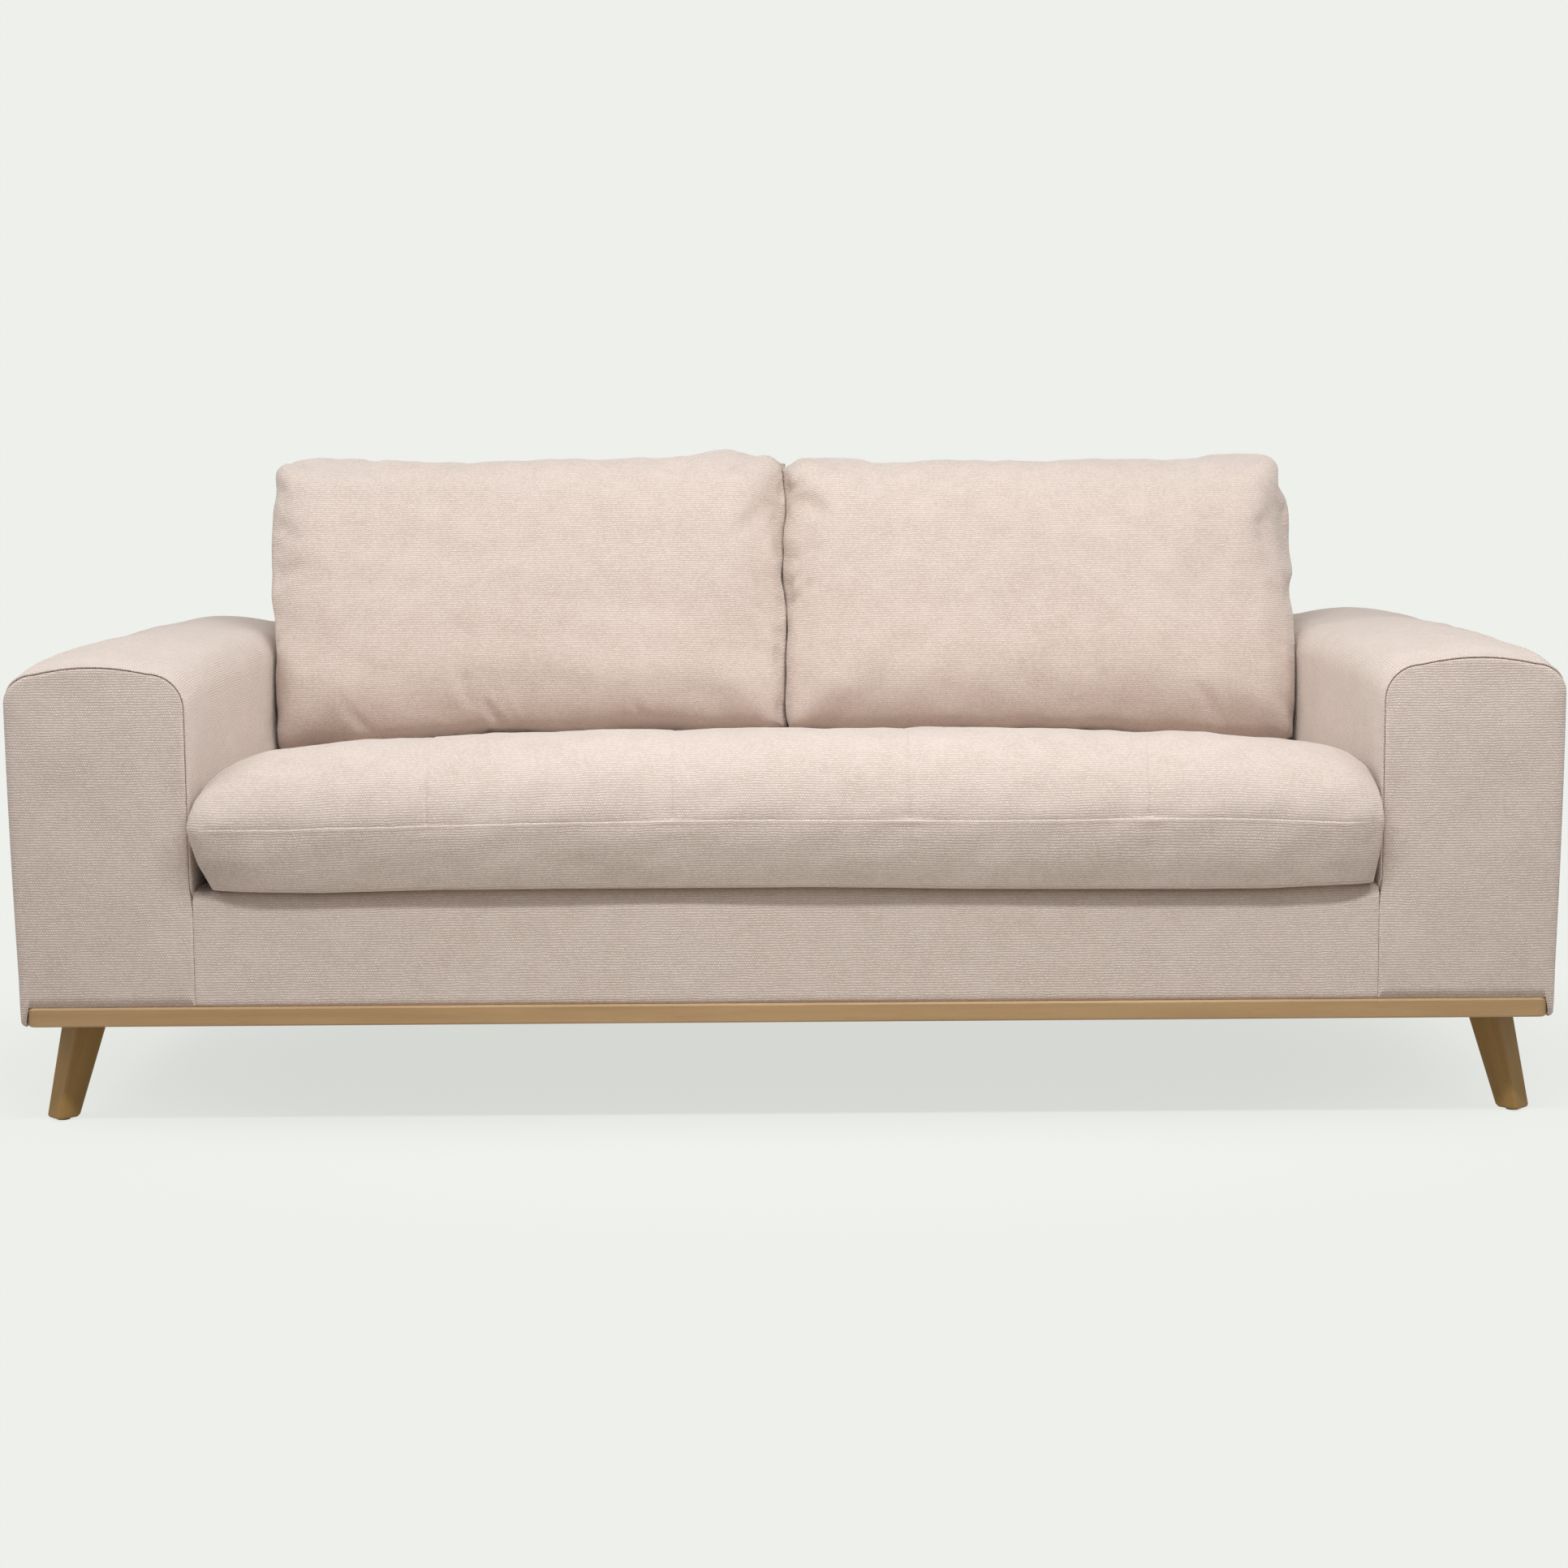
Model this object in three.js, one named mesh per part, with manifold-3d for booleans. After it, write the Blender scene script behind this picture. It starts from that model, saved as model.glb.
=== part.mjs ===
// Three-seat sofa on splayed wooden legs, built as its frame, springs, upholstery and loose
// cushions. Millimetres, +Z up, the front faces -Y; left and right are as seen from the front.
// Depths (the y values below) are measured back from the plane of the arm fronts.
import * as THREE from 'three';
import { mergeVertices } from 'three/addons/utils/BufferGeometryUtils.js';
import Module from 'manifold-3d';

const wasm = await Module();
wasm.setup();

// ---- Driving dimensions ---------------------------------------------------------------

const GAP = 0.3; // clearance between pieces that touch

// Arms
const SEAT_WIDTH = 1580; // clear width between the arms
const ARM_WIDTH = 243;
const ARM_LENGTH = 870; // arm fronts to the rear of the arms
const ARM_HEIGHT = 627; // top of the arm at its front panel
const ARM_RISE = 18; // how much the top rises above that towards the rear
const ARM_RISE_SPAN = 0.35; // share of its length over which it rises
const ARM_CROWN = 9; // how much the top swells across the arm
const ARM_RADIUS = 50; // inner shoulder radius of the arm's section
const ARM_OUTER_RADIUS = 42; // outer shoulder radius
const ARM_FLARE = 7; // how much the outer side leans out from plinth to shoulder
const ARM_PADDING = 25; // foam and cover around the arm frame
const ARM_PANEL = 26; // depth of the padded front panel
const ARM_SEAM = 3; // step in from the arm to its front panel at the seam
const ARM_HEM = 8; // how far the outer side turns in under its lower edge
const ARM_BOARD = 18; // plywood of the arm's front and rear boards
const ARM_RAIL_WIDTH = 90;
const ARM_RAIL_THICK = 22;

// Base
const LEG_HEIGHT = 142.5; // floor to the underside of the base
const LEG_TOP = 47; // side of the leg's square section at the plinth
const LEG_FOOT = 33; // side of the section at the floor
const LEG_CHAMFER = 3;
const LEG_SPLAY = 43; // how far the foot stands out from the leg's top, along the diagonal
const LEG_INSET_X = 70; // leg's top centre in from the arm's outer side
const LEG_INSET_Y = 100; // leg's top centre back from the arm fronts
const GLIDE_RADIUS = 10;
const GLIDE_HEIGHT = 3;
const BOLT_RADIUS = 4;
const BOLT_IN_LEG = 34;
const BOLT_IN_BLOCK = 18;
const PLINTH_HEIGHT = 26;
const BASE_WIDTH = 36; // width of the base boards, laid flat
const PLINTH_PROUD = 3; // plinth ahead of the arm fronts
const PLINTH_INSET = 15; // plinth in from the arm's outer side
const PLINTH_RADIUS = 14;
const PLINTH_EASE = 2.5; // eased edges of the plinth
const CUT_OVERRUN = 50; // how far a cutting shape runs past what it cuts
const BLOCK_WIDTH = 156; // corner block, across the sofa
const BLOCK_LENGTH = 150; // corner block, front to back
const BLOCK_BEVEL = 60; // inner corner cut off the block
const DUST_COVER = 1.2;

// Seat
const RAIL_THICK = 25;
const STRETCHER_HEIGHT = 80;
const TIMBER_EASE = 2;
const RAIL_PADDING = 20; // foam and cover on the front rail
const RAIL_TOP_DEPTH = 70; // padded top of the front rail, front to back
const RAIL_ROUND = 14;
const DECK_HEIGHT = 324; // floor to the platform that carries the seat cushion
const DECK_PAD = 12; // felt over the springs, where they rise highest
const WIRE_RADIUS = 2;
const WIRE_SWING = 26; // half width of the sinuous spring
const WIRE_PITCH = 41; // advance of one half loop
const WIRE_CURL = 4.5; // how far each loop turns back on itself
const WIRE_ARCH = 24; // rise of the spring between its clips
const SPRING_SPACING = 195;
const CLIP_WALL = 3;
const CLIP_WIDTH = 20;
const CLIP_SEAT = 12; // length of spring held in the clip

// Back
const BACK_HEIGHT = 806;
const BACK_DEPTH = 129; // the padded back and its frame, front to back at the seat
const BACK_RAKE = 0.105; // run back per unit of height of the padded back
const BACK_LEAN = 20; // how far the outside back leans out beyond the arms
const BACK_PADDING = 35;
const BACK_ROUND = 22;
const OUTER_PANEL = 7;
const OUTER_PANEL_DROP = 45; // top of the outside back below the back's top
const POST_THICK = 40;
const TOP_RAIL_HEIGHT = 50;
const STRAP_WIDTH = 70;
const STRAP_THICK = 2;
const STRAP_SPACING = 125;
const STRAP_COUNT = 3;
const STRAP_FIRST = 420; // height of the lowest strap

// Loose cushions
const CUSHION_GAP = 0.5; // clearance under and behind a loose cushion
const CUSHION_SIDE = 1.5; // clearance between a cushion and the arm beside it
const CUSHION_SPLIT = 2; // clearance between the two back cushions
const SEAT_OVERHANG = 25; // seat cushion ahead of the arm fronts
const SEAT_THICK = 184; // seat cushion at its crown
const SEAT_CROWN_Y = 270; // depth of the crown
const SEAT_NOSE = 72; // height of the foremost line above the cushion's underside
const SEAT_REAR_DROP = 52;
const SEAT_REAR_POWER = 1.25; // how late that fall sets in
const SEAT_END_DROP = 0.17; // share of its thickness that the seat loses towards the arms
const SEAT_END_POWER = 3; // how late that loss sets in
const SEAT_END_ROUND = 70;
const SEAT_HEEL = 45; // depth at which its nose meets the flat underside
const SEAT_REAR_EDGE = 16; // rounding of its rear edges
const SEAT_END_TUCK = 22; // how much the seat's ends draw in
const BACK_CUSHION_FOOT = 196; // back cushion's thickness at the seat
const BACK_CUSHION_TOP = 901;
const BACK_CUSHION_THICK = 170; // near the top
const BACK_CUSHION_TAPER = 6; // how much its outer side draws in towards the top
const BACK_CUSHION_ROUND = 4.6; // squareness of its section
const BACK_END_TUCK = 0.3; // share of its thickness that it loses at its ends
const BACK_END_DROP = 0.035; // share of its height that it loses at its ends
const BACK_BELLY = 0.16; // swell of its faces, as a share of its thickness
const BACK_REST = 30; // how far before the seat's rear edge its underside ends
const BACK_SETTLE = 4; // room for its rounded underside over the seat's crown

// ---- Places that follow from them -----------------------------------------------------

const innerX = SEAT_WIDTH / 2;
const outerX = innerX + ARM_WIDTH;
const plinthX = outerX - PLINTH_INSET;
const baseX = outerX - ARM_PADDING - ARM_FLARE - ARM_HEM - GAP;
const baseFront = BASE_WIDTH - PLINTH_PROUD;
const baseRear = ARM_LENGTH - ARM_PADDING - GAP;
const baseTop = LEG_HEIGHT + PLINTH_HEIGHT;
const coverFoot = baseTop + GAP;
const railFoot = coverFoot + DUST_COVER + GAP;
const wireZ = DECK_HEIGHT - DECK_PAD - GAP - WIRE_RADIUS - WIRE_ARCH;
const clipTop = wireZ + WIRE_RADIUS + GAP + CLIP_WALL;
const railTop = wireZ - WIRE_RADIUS - GAP - CLIP_WALL - GAP;
const deckRear = ARM_LENGTH - BACK_DEPTH;
const frontRail = RAIL_PADDING + GAP;
const rearRail = deckRear - GAP - RAIL_THICK;
const cushionFoot = DECK_HEIGHT + CUSHION_GAP;
const seatFront = -SEAT_OVERHANG;
const seatRear = deckRear - CUSHION_GAP;
const backCushionFront = deckRear - BACK_CUSHION_FOOT;

const padFront = (z) => deckRear + BACK_RAKE * (z - DECK_HEIGHT);
const padRear = (z) => padFront(z) + BACK_PADDING;
const postFront = (z) => padRear(z) + GAP + STRAP_THICK + GAP;
const rearFace = (z) => ARM_LENGTH + (BACK_LEAN * (z - LEG_HEIGHT)) / (BACK_HEIGHT - LEG_HEIGHT);
const postRear = (z) => rearFace(z) - OUTER_PANEL - GAP;
const postTop = BACK_HEIGHT - BACK_PADDING - GAP;
const postX = innerX - GAP - OUTER_PANEL - GAP;

// ---- Materials ------------------------------------------------------------------------

const FINISHES = {
  fabric: { color: 0xd8c6b9, roughness: 0.95, metalness: 0 },
  beech: { color: 0xb08a5c, roughness: 0.45, metalness: 0 },
  timber: { color: 0xc8a878, roughness: 0.8, metalness: 0 },
  steel: { color: 0x9a9da0, roughness: 0.35, metalness: 1 },
  webbing: { color: 0x3c3a38, roughness: 0.9, metalness: 0 },
  lining: { color: 0x2b2a2a, roughness: 0.95, metalness: 0 },
  plastic: { color: 0x4a4a48, roughness: 0.5, metalness: 0 },
};

function addMesh(parent, name, geometry, finish) {
  const mesh = new THREE.Mesh(geometry, new THREE.MeshStandardMaterial(FINISHES[finish]));
  mesh.name = name;
  parent.add(mesh);
  return mesh;
}

// ---- Shape helpers --------------------------------------------------------------------

function welded(geometry) {
  const bare = geometry.clone();
  bare.deleteAttribute('normal');
  bare.deleteAttribute('uv');
  return mergeVertices(bare, 1e-4);
}

function flipped(geometry) {
  const index = geometry.index.array;
  for (let i = 0; i < index.length; i += 3) {
    [index[i], index[i + 1]] = [index[i + 1], index[i]];
  }
  geometry.computeVertexNormals();
  return geometry;
}

function mirrored(geometry) {
  return flipped(geometry.clone().applyMatrix4(new THREE.Matrix4().makeScale(-1, 1, 1)));
}

function signedVolume(geometry) {
  const p = geometry.attributes.position;
  const [a, b, c] = [new THREE.Vector3(), new THREE.Vector3(), new THREE.Vector3()];
  let volume = 0;
  for (let i = 0; i < geometry.index.count; i += 3) {
    a.fromBufferAttribute(p, geometry.index.getX(i));
    b.fromBufferAttribute(p, geometry.index.getX(i + 1));
    c.fromBufferAttribute(p, geometry.index.getX(i + 2));
    volume += a.dot(b.cross(c)) / 6;
  }
  return volume;
}

// Triangles of one closed flat ring, wound in the ring's own order.
function capTriangles(ring, flat) {
  const outline = ring.map(flat);
  const turn = Math.sign(THREE.ShapeUtils.area(outline));
  return THREE.ShapeUtils.triangulateShape(outline, []).map(([i, j, k]) => {
    const same = THREE.ShapeUtils.area([outline[i], outline[j], outline[k]]) * turn > 0;
    return same ? [i, j, k] : [k, j, i];
  });
}

// A closed skin through rings of equal point count, with flat ends. `flat` drops the
// coordinate that is constant on the end rings.
function loft(rings, flat) {
  const size = rings[0].length;
  const index = [];
  for (let r = 0; r + 1 < rings.length; r += 1) {
    for (let j = 0; j < size; j += 1) {
      const next = (j + 1) % size;
      const [a, b] = [r * size + j, r * size + next];
      const [c, d] = [b + size, a + size];
      index.push(a, b, c, a, c, d);
    }
  }
  const last = (rings.length - 1) * size;
  capTriangles(rings[0], flat).forEach(([i, j, k]) => index.push(k, j, i));
  capTriangles(rings.at(-1), flat).forEach(([i, j, k]) => index.push(last + i, last + j, last + k));
  const geometry = new THREE.BufferGeometry().setFromPoints(rings.flat());
  geometry.setIndex(index);
  if (signedVolume(geometry) < 0) {
    flipped(geometry);
  }
  geometry.computeVertexNormals();
  return geometry;
}

const flatX = (p) => new THREE.Vector2(p.y, p.z);
const flatY = (p) => new THREE.Vector2(p.x, p.z);
const flatZ = (p) => new THREE.Vector2(p.x, p.y);

function toSolid(geometry) {
  const bare = welded(geometry);
  return new wasm.Manifold(new wasm.Mesh({
    numProp: 3,
    vertProperties: new Float32Array(bare.attributes.position.array),
    triVerts: new Uint32Array(bare.index.array),
  }));
}

function toGeometry(solid) {
  const mesh = solid.getMesh();
  const result = new THREE.BufferGeometry();
  result.setAttribute('position', new THREE.BufferAttribute(mesh.vertProperties, 3));
  result.setIndex(new THREE.BufferAttribute(mesh.triVerts, 1));
  result.computeVertexNormals();
  return result;
}

function cut(geometry, ...tools) {
  return toGeometry(tools.reduce((rest, tool) => rest.subtract(toSolid(tool)), toSolid(geometry)));
}

function join(geometry, ...others) {
  return toGeometry(others.reduce((rest, other) => rest.add(toSolid(other)), toSolid(geometry)));
}

function box(x0, x1, y0, y1, z0, z1) {
  const geometry = new THREE.BoxGeometry(x1 - x0, y1 - y0, z1 - z0);
  return geometry.translate((x0 + x1) / 2, (y0 + y1) / 2, (z0 + z1) / 2);
}

// Extrudes an outline of (y, z) points across the sofa, from x0 to x1.
function extrudeAcross(outline, x0, x1) {
  const shape = new THREE.Shape(outline.map(([y, z]) => new THREE.Vector2(y, z)));
  const geometry = new THREE.ExtrudeGeometry(shape, { depth: x1 - x0, bevelEnabled: false });
  const basis = new THREE.Matrix4().makeBasis(
    new THREE.Vector3(0, 1, 0),
    new THREE.Vector3(0, 0, 1),
    new THREE.Vector3(1, 0, 0),
  );
  return welded(geometry.applyMatrix4(basis)).translate(x0, 0, 0);
}

// A flat outline of (x, y) points, raised from z0 to z1 with its edges eased.
function raise(shape, z0, z1, ease) {
  const geometry = new THREE.ExtrudeGeometry(shape, {
    depth: z1 - z0 - 2 * ease,
    bevelThickness: ease,
    bevelSize: ease,
    bevelOffset: -ease,
    bevelSegments: 1,
    curveSegments: 4,
  });
  return welded(geometry.translate(0, 0, z0 + ease));
}

// A sawn timber with eased long edges, lying along X or along Y.
function timber(along, x0, x1, y0, y1, z0, z1) {
  const [from, to] = along === 'x' ? [x0, x1] : [y0, y1];
  const [s0, s1] = along === 'x' ? [y0, y1] : [x0, x1];
  const e = TIMBER_EASE;
  const section = [
    [s0 + e, z0], [s1 - e, z0], [s1, z0 + e], [s1, z1 - e],
    [s1 - e, z1], [s0 + e, z1], [s0, z1 - e], [s0, z0 + e],
  ];
  const ringAt = (t) => section.map(([s, z]) => (
    along === 'x' ? new THREE.Vector3(t, s, z) : new THREE.Vector3(s, t, z)
  ));
  return loft([ringAt(from), ringAt(to)], along === 'x' ? flatX : flatY);
}

function arc(cx, cy, rx, ry, from, to, steps, power = 2) {
  const points = [];
  for (let i = 0; i <= steps; i += 1) {
    const a = from + ((to - from) * i) / steps;
    const [c, s] = [Math.cos(a), Math.sin(a)];
    points.push([
      cx + rx * Math.sign(c) * Math.abs(c) ** (2 / power),
      cy + ry * Math.sign(s) * Math.abs(s) ** (2 / power),
    ]);
  }
  return points;
}

const QUARTER = Math.PI / 2;

// ---- Legs -----------------------------------------------------------------------------

// One leg stands in its own frame: x runs out along the splay, the origin is below its top.
const legLean = Math.atan2(LEG_SPLAY, LEG_HEIGHT);
const legFoot = GLIDE_HEIGHT + GAP;

function legGeometry() {
  const ringAt = (z, shrink) => {
    const t = z / LEG_HEIGHT;
    const half = (LEG_FOOT + (LEG_TOP - LEG_FOOT) * t) / 2 - shrink;
    const x = LEG_SPLAY * (1 - t);
    const c = half - LEG_CHAMFER;
    return [
      [c, -half], [half, -c], [half, c], [c, half],
      [-c, half], [-half, c], [-half, -c], [-c, -half],
    ].map(([dx, dy]) => new THREE.Vector3(x + dx, dy, z));
  };
  const heights = [[legFoot, LEG_CHAMFER / 2], [legFoot + LEG_CHAMFER, 0], [LEG_HEIGHT - GAP, 0]];
  const body = loft(heights.map(([z, shrink]) => ringAt(z, shrink)), flatZ);
  return cut(body, boltGeometry(GAP));
}

// The hanger bolt runs along the leg's own axis, half in the leg and half in the block.
function boltGeometry(clearance) {
  const length = BOLT_IN_LEG + BOLT_IN_BLOCK + 2 * clearance;
  const bolt = new THREE.CylinderGeometry(
    BOLT_RADIUS + clearance, BOLT_RADIUS + clearance, length, 14,
  );
  bolt.rotateX(QUARTER).translate(0, 0, (BOLT_IN_BLOCK - BOLT_IN_LEG) / 2);
  return bolt.rotateY(-legLean).translate(0, 0, LEG_HEIGHT);
}

function legGroup(name, x, y) {
  const group = new THREE.Group();
  group.position.set(x, y, 0);
  group.rotation.z = Math.atan2(Math.sign(y - ARM_LENGTH / 2), Math.sign(x));
  addMesh(group, `leg_${name}`, legGeometry(), 'beech');
  addMesh(group, `leg_bolt_${name}`, boltGeometry(0), 'steel');
  const glide = new THREE.CylinderGeometry(GLIDE_RADIUS, GLIDE_RADIUS - 1, GLIDE_HEIGHT, 20);
  glide.rotateX(QUARTER);
  const pad = addMesh(group, `glide_${name}`, glide, 'plastic');
  pad.position.set(LEG_SPLAY * (1 - legFoot / LEG_HEIGHT), 0, GLIDE_HEIGHT / 2);
  return group;
}

// The block in the plinth's corner that takes the leg's bolt.
function cornerBlock(leg) {
  const sx = Math.sign(leg.position.x);
  const rear = leg.position.y > ARM_LENGTH / 2;
  const x0 = baseX;
  const x1 = x0 - BLOCK_WIDTH;
  const run = rear ? -1 : 1;
  const y0 = (rear ? baseRear - BASE_WIDTH : baseFront) + run * GAP;
  const y1 = y0 + run * BLOCK_LENGTH;
  const outline = [
    [x0, y0], [x0, y1], [x1 + BLOCK_BEVEL, y1], [x1, y1 - run * BLOCK_BEVEL], [x1, y0],
  ];
  const placed = outline.map(([x, y]) => new THREE.Vector2(sx * x, y));
  const body = raise(new THREE.Shape(placed), LEG_HEIGHT, baseTop, TIMBER_EASE);
  leg.updateMatrix();
  return cut(body, boltGeometry(GAP).applyMatrix4(leg.matrix));
}

// ---- Plinth ---------------------------------------------------------------------------

// The front board of the base: its front corners are rounded in plan, and its ends are
// rebated to let the arm covers down behind them.
function plinthBoard() {
  const [r, step] = [PLINTH_RADIUS, ARM_PANEL];
  const shape = new THREE.Shape();
  shape.moveTo(-plinthX, step);
  shape.lineTo(-plinthX, r - PLINTH_PROUD);
  shape.quadraticCurveTo(-plinthX, -PLINTH_PROUD, -plinthX + r, -PLINTH_PROUD);
  shape.lineTo(plinthX - r, -PLINTH_PROUD);
  shape.quadraticCurveTo(plinthX, -PLINTH_PROUD, plinthX, r - PLINTH_PROUD);
  shape.lineTo(plinthX, step);
  shape.lineTo(baseX, step);
  shape.lineTo(baseX, baseFront);
  shape.lineTo(-baseX, baseFront);
  shape.lineTo(-baseX, step);
  return raise(shape, LEG_HEIGHT, baseTop, PLINTH_EASE);
}

// ---- Seat springs ---------------------------------------------------------------------

const springFront = frontRail + CLIP_WALL + GAP;
const springRear = rearRail + RAIL_THICK - CLIP_WALL - GAP;
const springSpan = springRear - springFront;
const archAt = (y) => WIRE_ARCH * Math.sin((Math.PI * (y - springFront)) / springSpan) ** 2;

// The centre line of a sinuous spring: half loops that turn back on themselves, arched up.
class SinuousWire extends THREE.Curve {
  constructor(x) {
    super();
    this.x = x;
    this.loops = Math.round((springSpan - 2 * CLIP_SEAT) / WIRE_PITCH);
    this.arcLengthDivisions = this.loops * 40;
  }

  getPoint(t, target = new THREE.Vector3()) {
    const turn = t * this.loops * Math.PI;
    const swing = WIRE_SWING * Math.cos(turn);
    const reach = springSpan - 2 * CLIP_SEAT;
    const y = springFront + CLIP_SEAT + t * reach + WIRE_CURL * Math.sin(2 * turn);
    return target.set(this.x + swing, y, wireZ + archAt(y));
  }
}

function springGeometry(x) {
  const section = new THREE.Shape(
    arc(0, 0, WIRE_RADIUS, WIRE_RADIUS, 0, 1.6 * Math.PI, 4).map(([a, b]) => new THREE.Vector2(a, b)),
  );
  const path = new SinuousWire(x);
  const options = { steps: path.loops * 6, bevelEnabled: false, extrudePath: path };
  return welded(new THREE.ExtrudeGeometry(section, options));
}

// A hooked strip along a rail: the springs' ends lie under its lip.
function clipStrip(y0, opensBack) {
  const w = CLIP_WALL;
  const z0 = railTop + GAP;
  const section = [
    [0, z0], [CLIP_WIDTH, z0], [CLIP_WIDTH, z0 + w], [w, z0 + w],
    [w, clipTop - w], [CLIP_WIDTH - w, clipTop - w], [CLIP_WIDTH - w, clipTop], [0, clipTop],
  ];
  const placed = section.map(([y, z]) => [opensBack ? y0 + y : y0 - y, z]);
  return extrudeAcross(placed, -innerX + 4, innerX - 4);
}

// The platform: flat on top, its underside lying on the arched springs.
function deckGeometry() {
  const y0 = RAIL_TOP_DEPTH + GAP;
  const y1 = springRear - CLIP_WIDTH;
  const under = [];
  const steps = 12;
  for (let i = 0; i <= steps; i += 1) {
    const y = y0 + ((y1 - y0) * i) / steps;
    under.push([y, wireZ + archAt(y) + WIRE_RADIUS + GAP]);
  }
  return extrudeAcross([...under, [y1, DECK_HEIGHT], [y0, DECK_HEIGHT]], -innerX + GAP, innerX - GAP);
}

function frontRailCover() {
  const r = RAIL_ROUND;
  const top = DECK_HEIGHT;
  const outline = [
    [RAIL_PADDING, coverFoot],
    [RAIL_PADDING, clipTop + GAP],
    [RAIL_TOP_DEPTH, clipTop + GAP],
    [RAIL_TOP_DEPTH, top],
    ...arc(r, top - r, r, r, QUARTER, Math.PI, 4),
    [0, coverFoot],
  ];
  return extrudeAcross(outline, -innerX + GAP, innerX - GAP);
}

// ---- Arms -----------------------------------------------------------------------------

// The arm's section, as (x, z) outwards from its inner face, `inset` in from the cover.
function armOutline(inset, top, foot) {
  const [r, outer] = [ARM_RADIUS - inset, ARM_OUTER_RADIUS - inset];
  const [x0, x1] = [inset, ARM_WIDTH - inset];
  const level = top - ARM_CROWN;
  const shoulder = level - outer;
  const outline = [[x0, foot], ...arc(x0 + r, level - r, r, r, Math.PI, QUARTER, 6)];
  for (let i = 1; i < 4; i += 1) {
    const t = i / 4;
    outline.push([x0 + r + t * (x1 - x0 - r - outer), level + ARM_CROWN * 4 * t * (1 - t)]);
  }
  outline.push(...arc(x1 - outer, shoulder, outer, outer, QUARTER, 0, 6));
  const hem = foot + ARM_HEM;
  for (let i = 1; i <= 3; i += 1) {
    const t = i / 3;
    outline.push([x1 - ARM_FLARE * t * t, shoulder + (hem - shoulder) * t]);
  }
  outline.push([x1 - ARM_FLARE - ARM_HEM / 3, hem - ARM_HEM * 0.6], [x1 - ARM_FLARE - ARM_HEM, foot]);
  return outline;
}

const ringInY = (outline, y) => outline.map(([x, z]) => new THREE.Vector3(x, y, z));

function armCover() {
  const start = ARM_PANEL + GAP;
  const stations = [0, 0.05, 0.15, 0.3, 0.45, 0.6, 0.75, 0.88, 0.97, 1];
  const skin = stations.map((t) => {
    const tuck = t === 1 ? ARM_PADDING / 3 : 0;
    const rise = ARM_RISE * Math.sqrt(Math.sin(QUARTER * Math.min(1, t / ARM_RISE_SPAN)));
    const top = ARM_HEIGHT + rise - tuck;
    return ringInY(armOutline(tuck, top, LEG_HEIGHT), start + t * (ARM_LENGTH - start));
  });
  const [out, back] = [start - CUT_OVERRUN, ARM_LENGTH - ARM_PADDING];
  const cavity = armOutline(ARM_PADDING, ARM_HEIGHT - ARM_PADDING, LEG_HEIGHT - CUT_OVERRUN);
  const hollow = [out, back].map((y) => ringInY(cavity, y));
  // below the top of the seat's rails the inner side is open, where the side rail stands
  const notch = box(
    -CUT_OVERRUN, ARM_PADDING + GAP, out, back, LEG_HEIGHT - CUT_OVERRUN, railTop + GAP,
  );
  return cut(loft(skin, flatY), loft(hollow, flatY), notch);
}

function armPanel() {
  const rings = [
    [0, 3 * ARM_SEAM], [ARM_SEAM, 1.5 * ARM_SEAM], [ARM_PANEL / 2, ARM_SEAM], [ARM_PANEL, ARM_SEAM],
  ];
  return loft(
    rings.map(([y, inset]) => ringInY(armOutline(inset, ARM_HEIGHT - inset, coverFoot), y)),
    flatY,
  );
}

function armBoard(y) {
  const inset = ARM_PADDING + GAP;
  const outline = armOutline(inset, ARM_HEIGHT - inset, railFoot);
  return loft([ringInY(outline, y), ringInY(outline, y + ARM_BOARD)], flatY);
}

const armBoardFront = ARM_PANEL + GAP;
const armBoardRear = ARM_LENGTH - ARM_PADDING - GAP - ARM_BOARD;

function armTopRail() {
  const middle = ARM_WIDTH / 2;
  const top = ARM_HEIGHT - ARM_PADDING - ARM_CROWN - GAP;
  return timber(
    'y', middle - ARM_RAIL_WIDTH / 2, middle + ARM_RAIL_WIDTH / 2,
    armBoardFront + ARM_BOARD + GAP, armBoardRear - GAP, top - ARM_RAIL_THICK, top,
  );
}

function sideRail() {
  return timber('y', GAP, RAIL_THICK, ARM_PANEL + GAP, armBoardRear + ARM_BOARD, railFoot, railTop);
}

function armGroup(side, sign) {
  const group = new THREE.Group();
  group.position.x = sign * innerX;
  const pieces = {
    arm_cover: [armCover(), 'fabric'],
    arm_front_panel: [armPanel(), 'fabric'],
    arm_front_board: [armBoard(armBoardFront), 'timber'],
    arm_rear_board: [armBoard(armBoardRear), 'timber'],
    arm_top_rail: [armTopRail(), 'timber'],
    seat_rail: [sideRail(), 'timber'],
  };
  for (const [name, [geometry, finish]] of Object.entries(pieces)) {
    addMesh(group, `${name}_${side}`, sign > 0 ? geometry : mirrored(geometry), finish);
  }
  return group;
}

// ---- Back -----------------------------------------------------------------------------

function backPost(x0, x1) {
  const outline = [
    [postFront(railFoot), railFoot], [postRear(railFoot), railFoot],
    [postRear(postTop), postTop], [postFront(postTop), postTop],
  ];
  return extrudeAcross(outline, x0, x1);
}

function backTopRail() {
  const z0 = postTop - TOP_RAIL_HEIGHT;
  const outline = [
    [postFront(z0), z0], [postRear(z0), z0], [postRear(postTop), postTop], [postFront(postTop), postTop],
  ];
  const half = postX - POST_THICK - GAP;
  return extrudeAcross(outline, -half, half);
}

function backStrap(z) {
  const [z0, z1] = [z - STRAP_WIDTH / 2, z + STRAP_WIDTH / 2];
  const front = (h) => padRear(h) + GAP;
  const outline = [
    [front(z0), z0], [front(z0) + STRAP_THICK, z0], [front(z1) + STRAP_THICK, z1], [front(z1), z1],
  ];
  return extrudeAcross(outline, -postX, postX);
}

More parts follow.
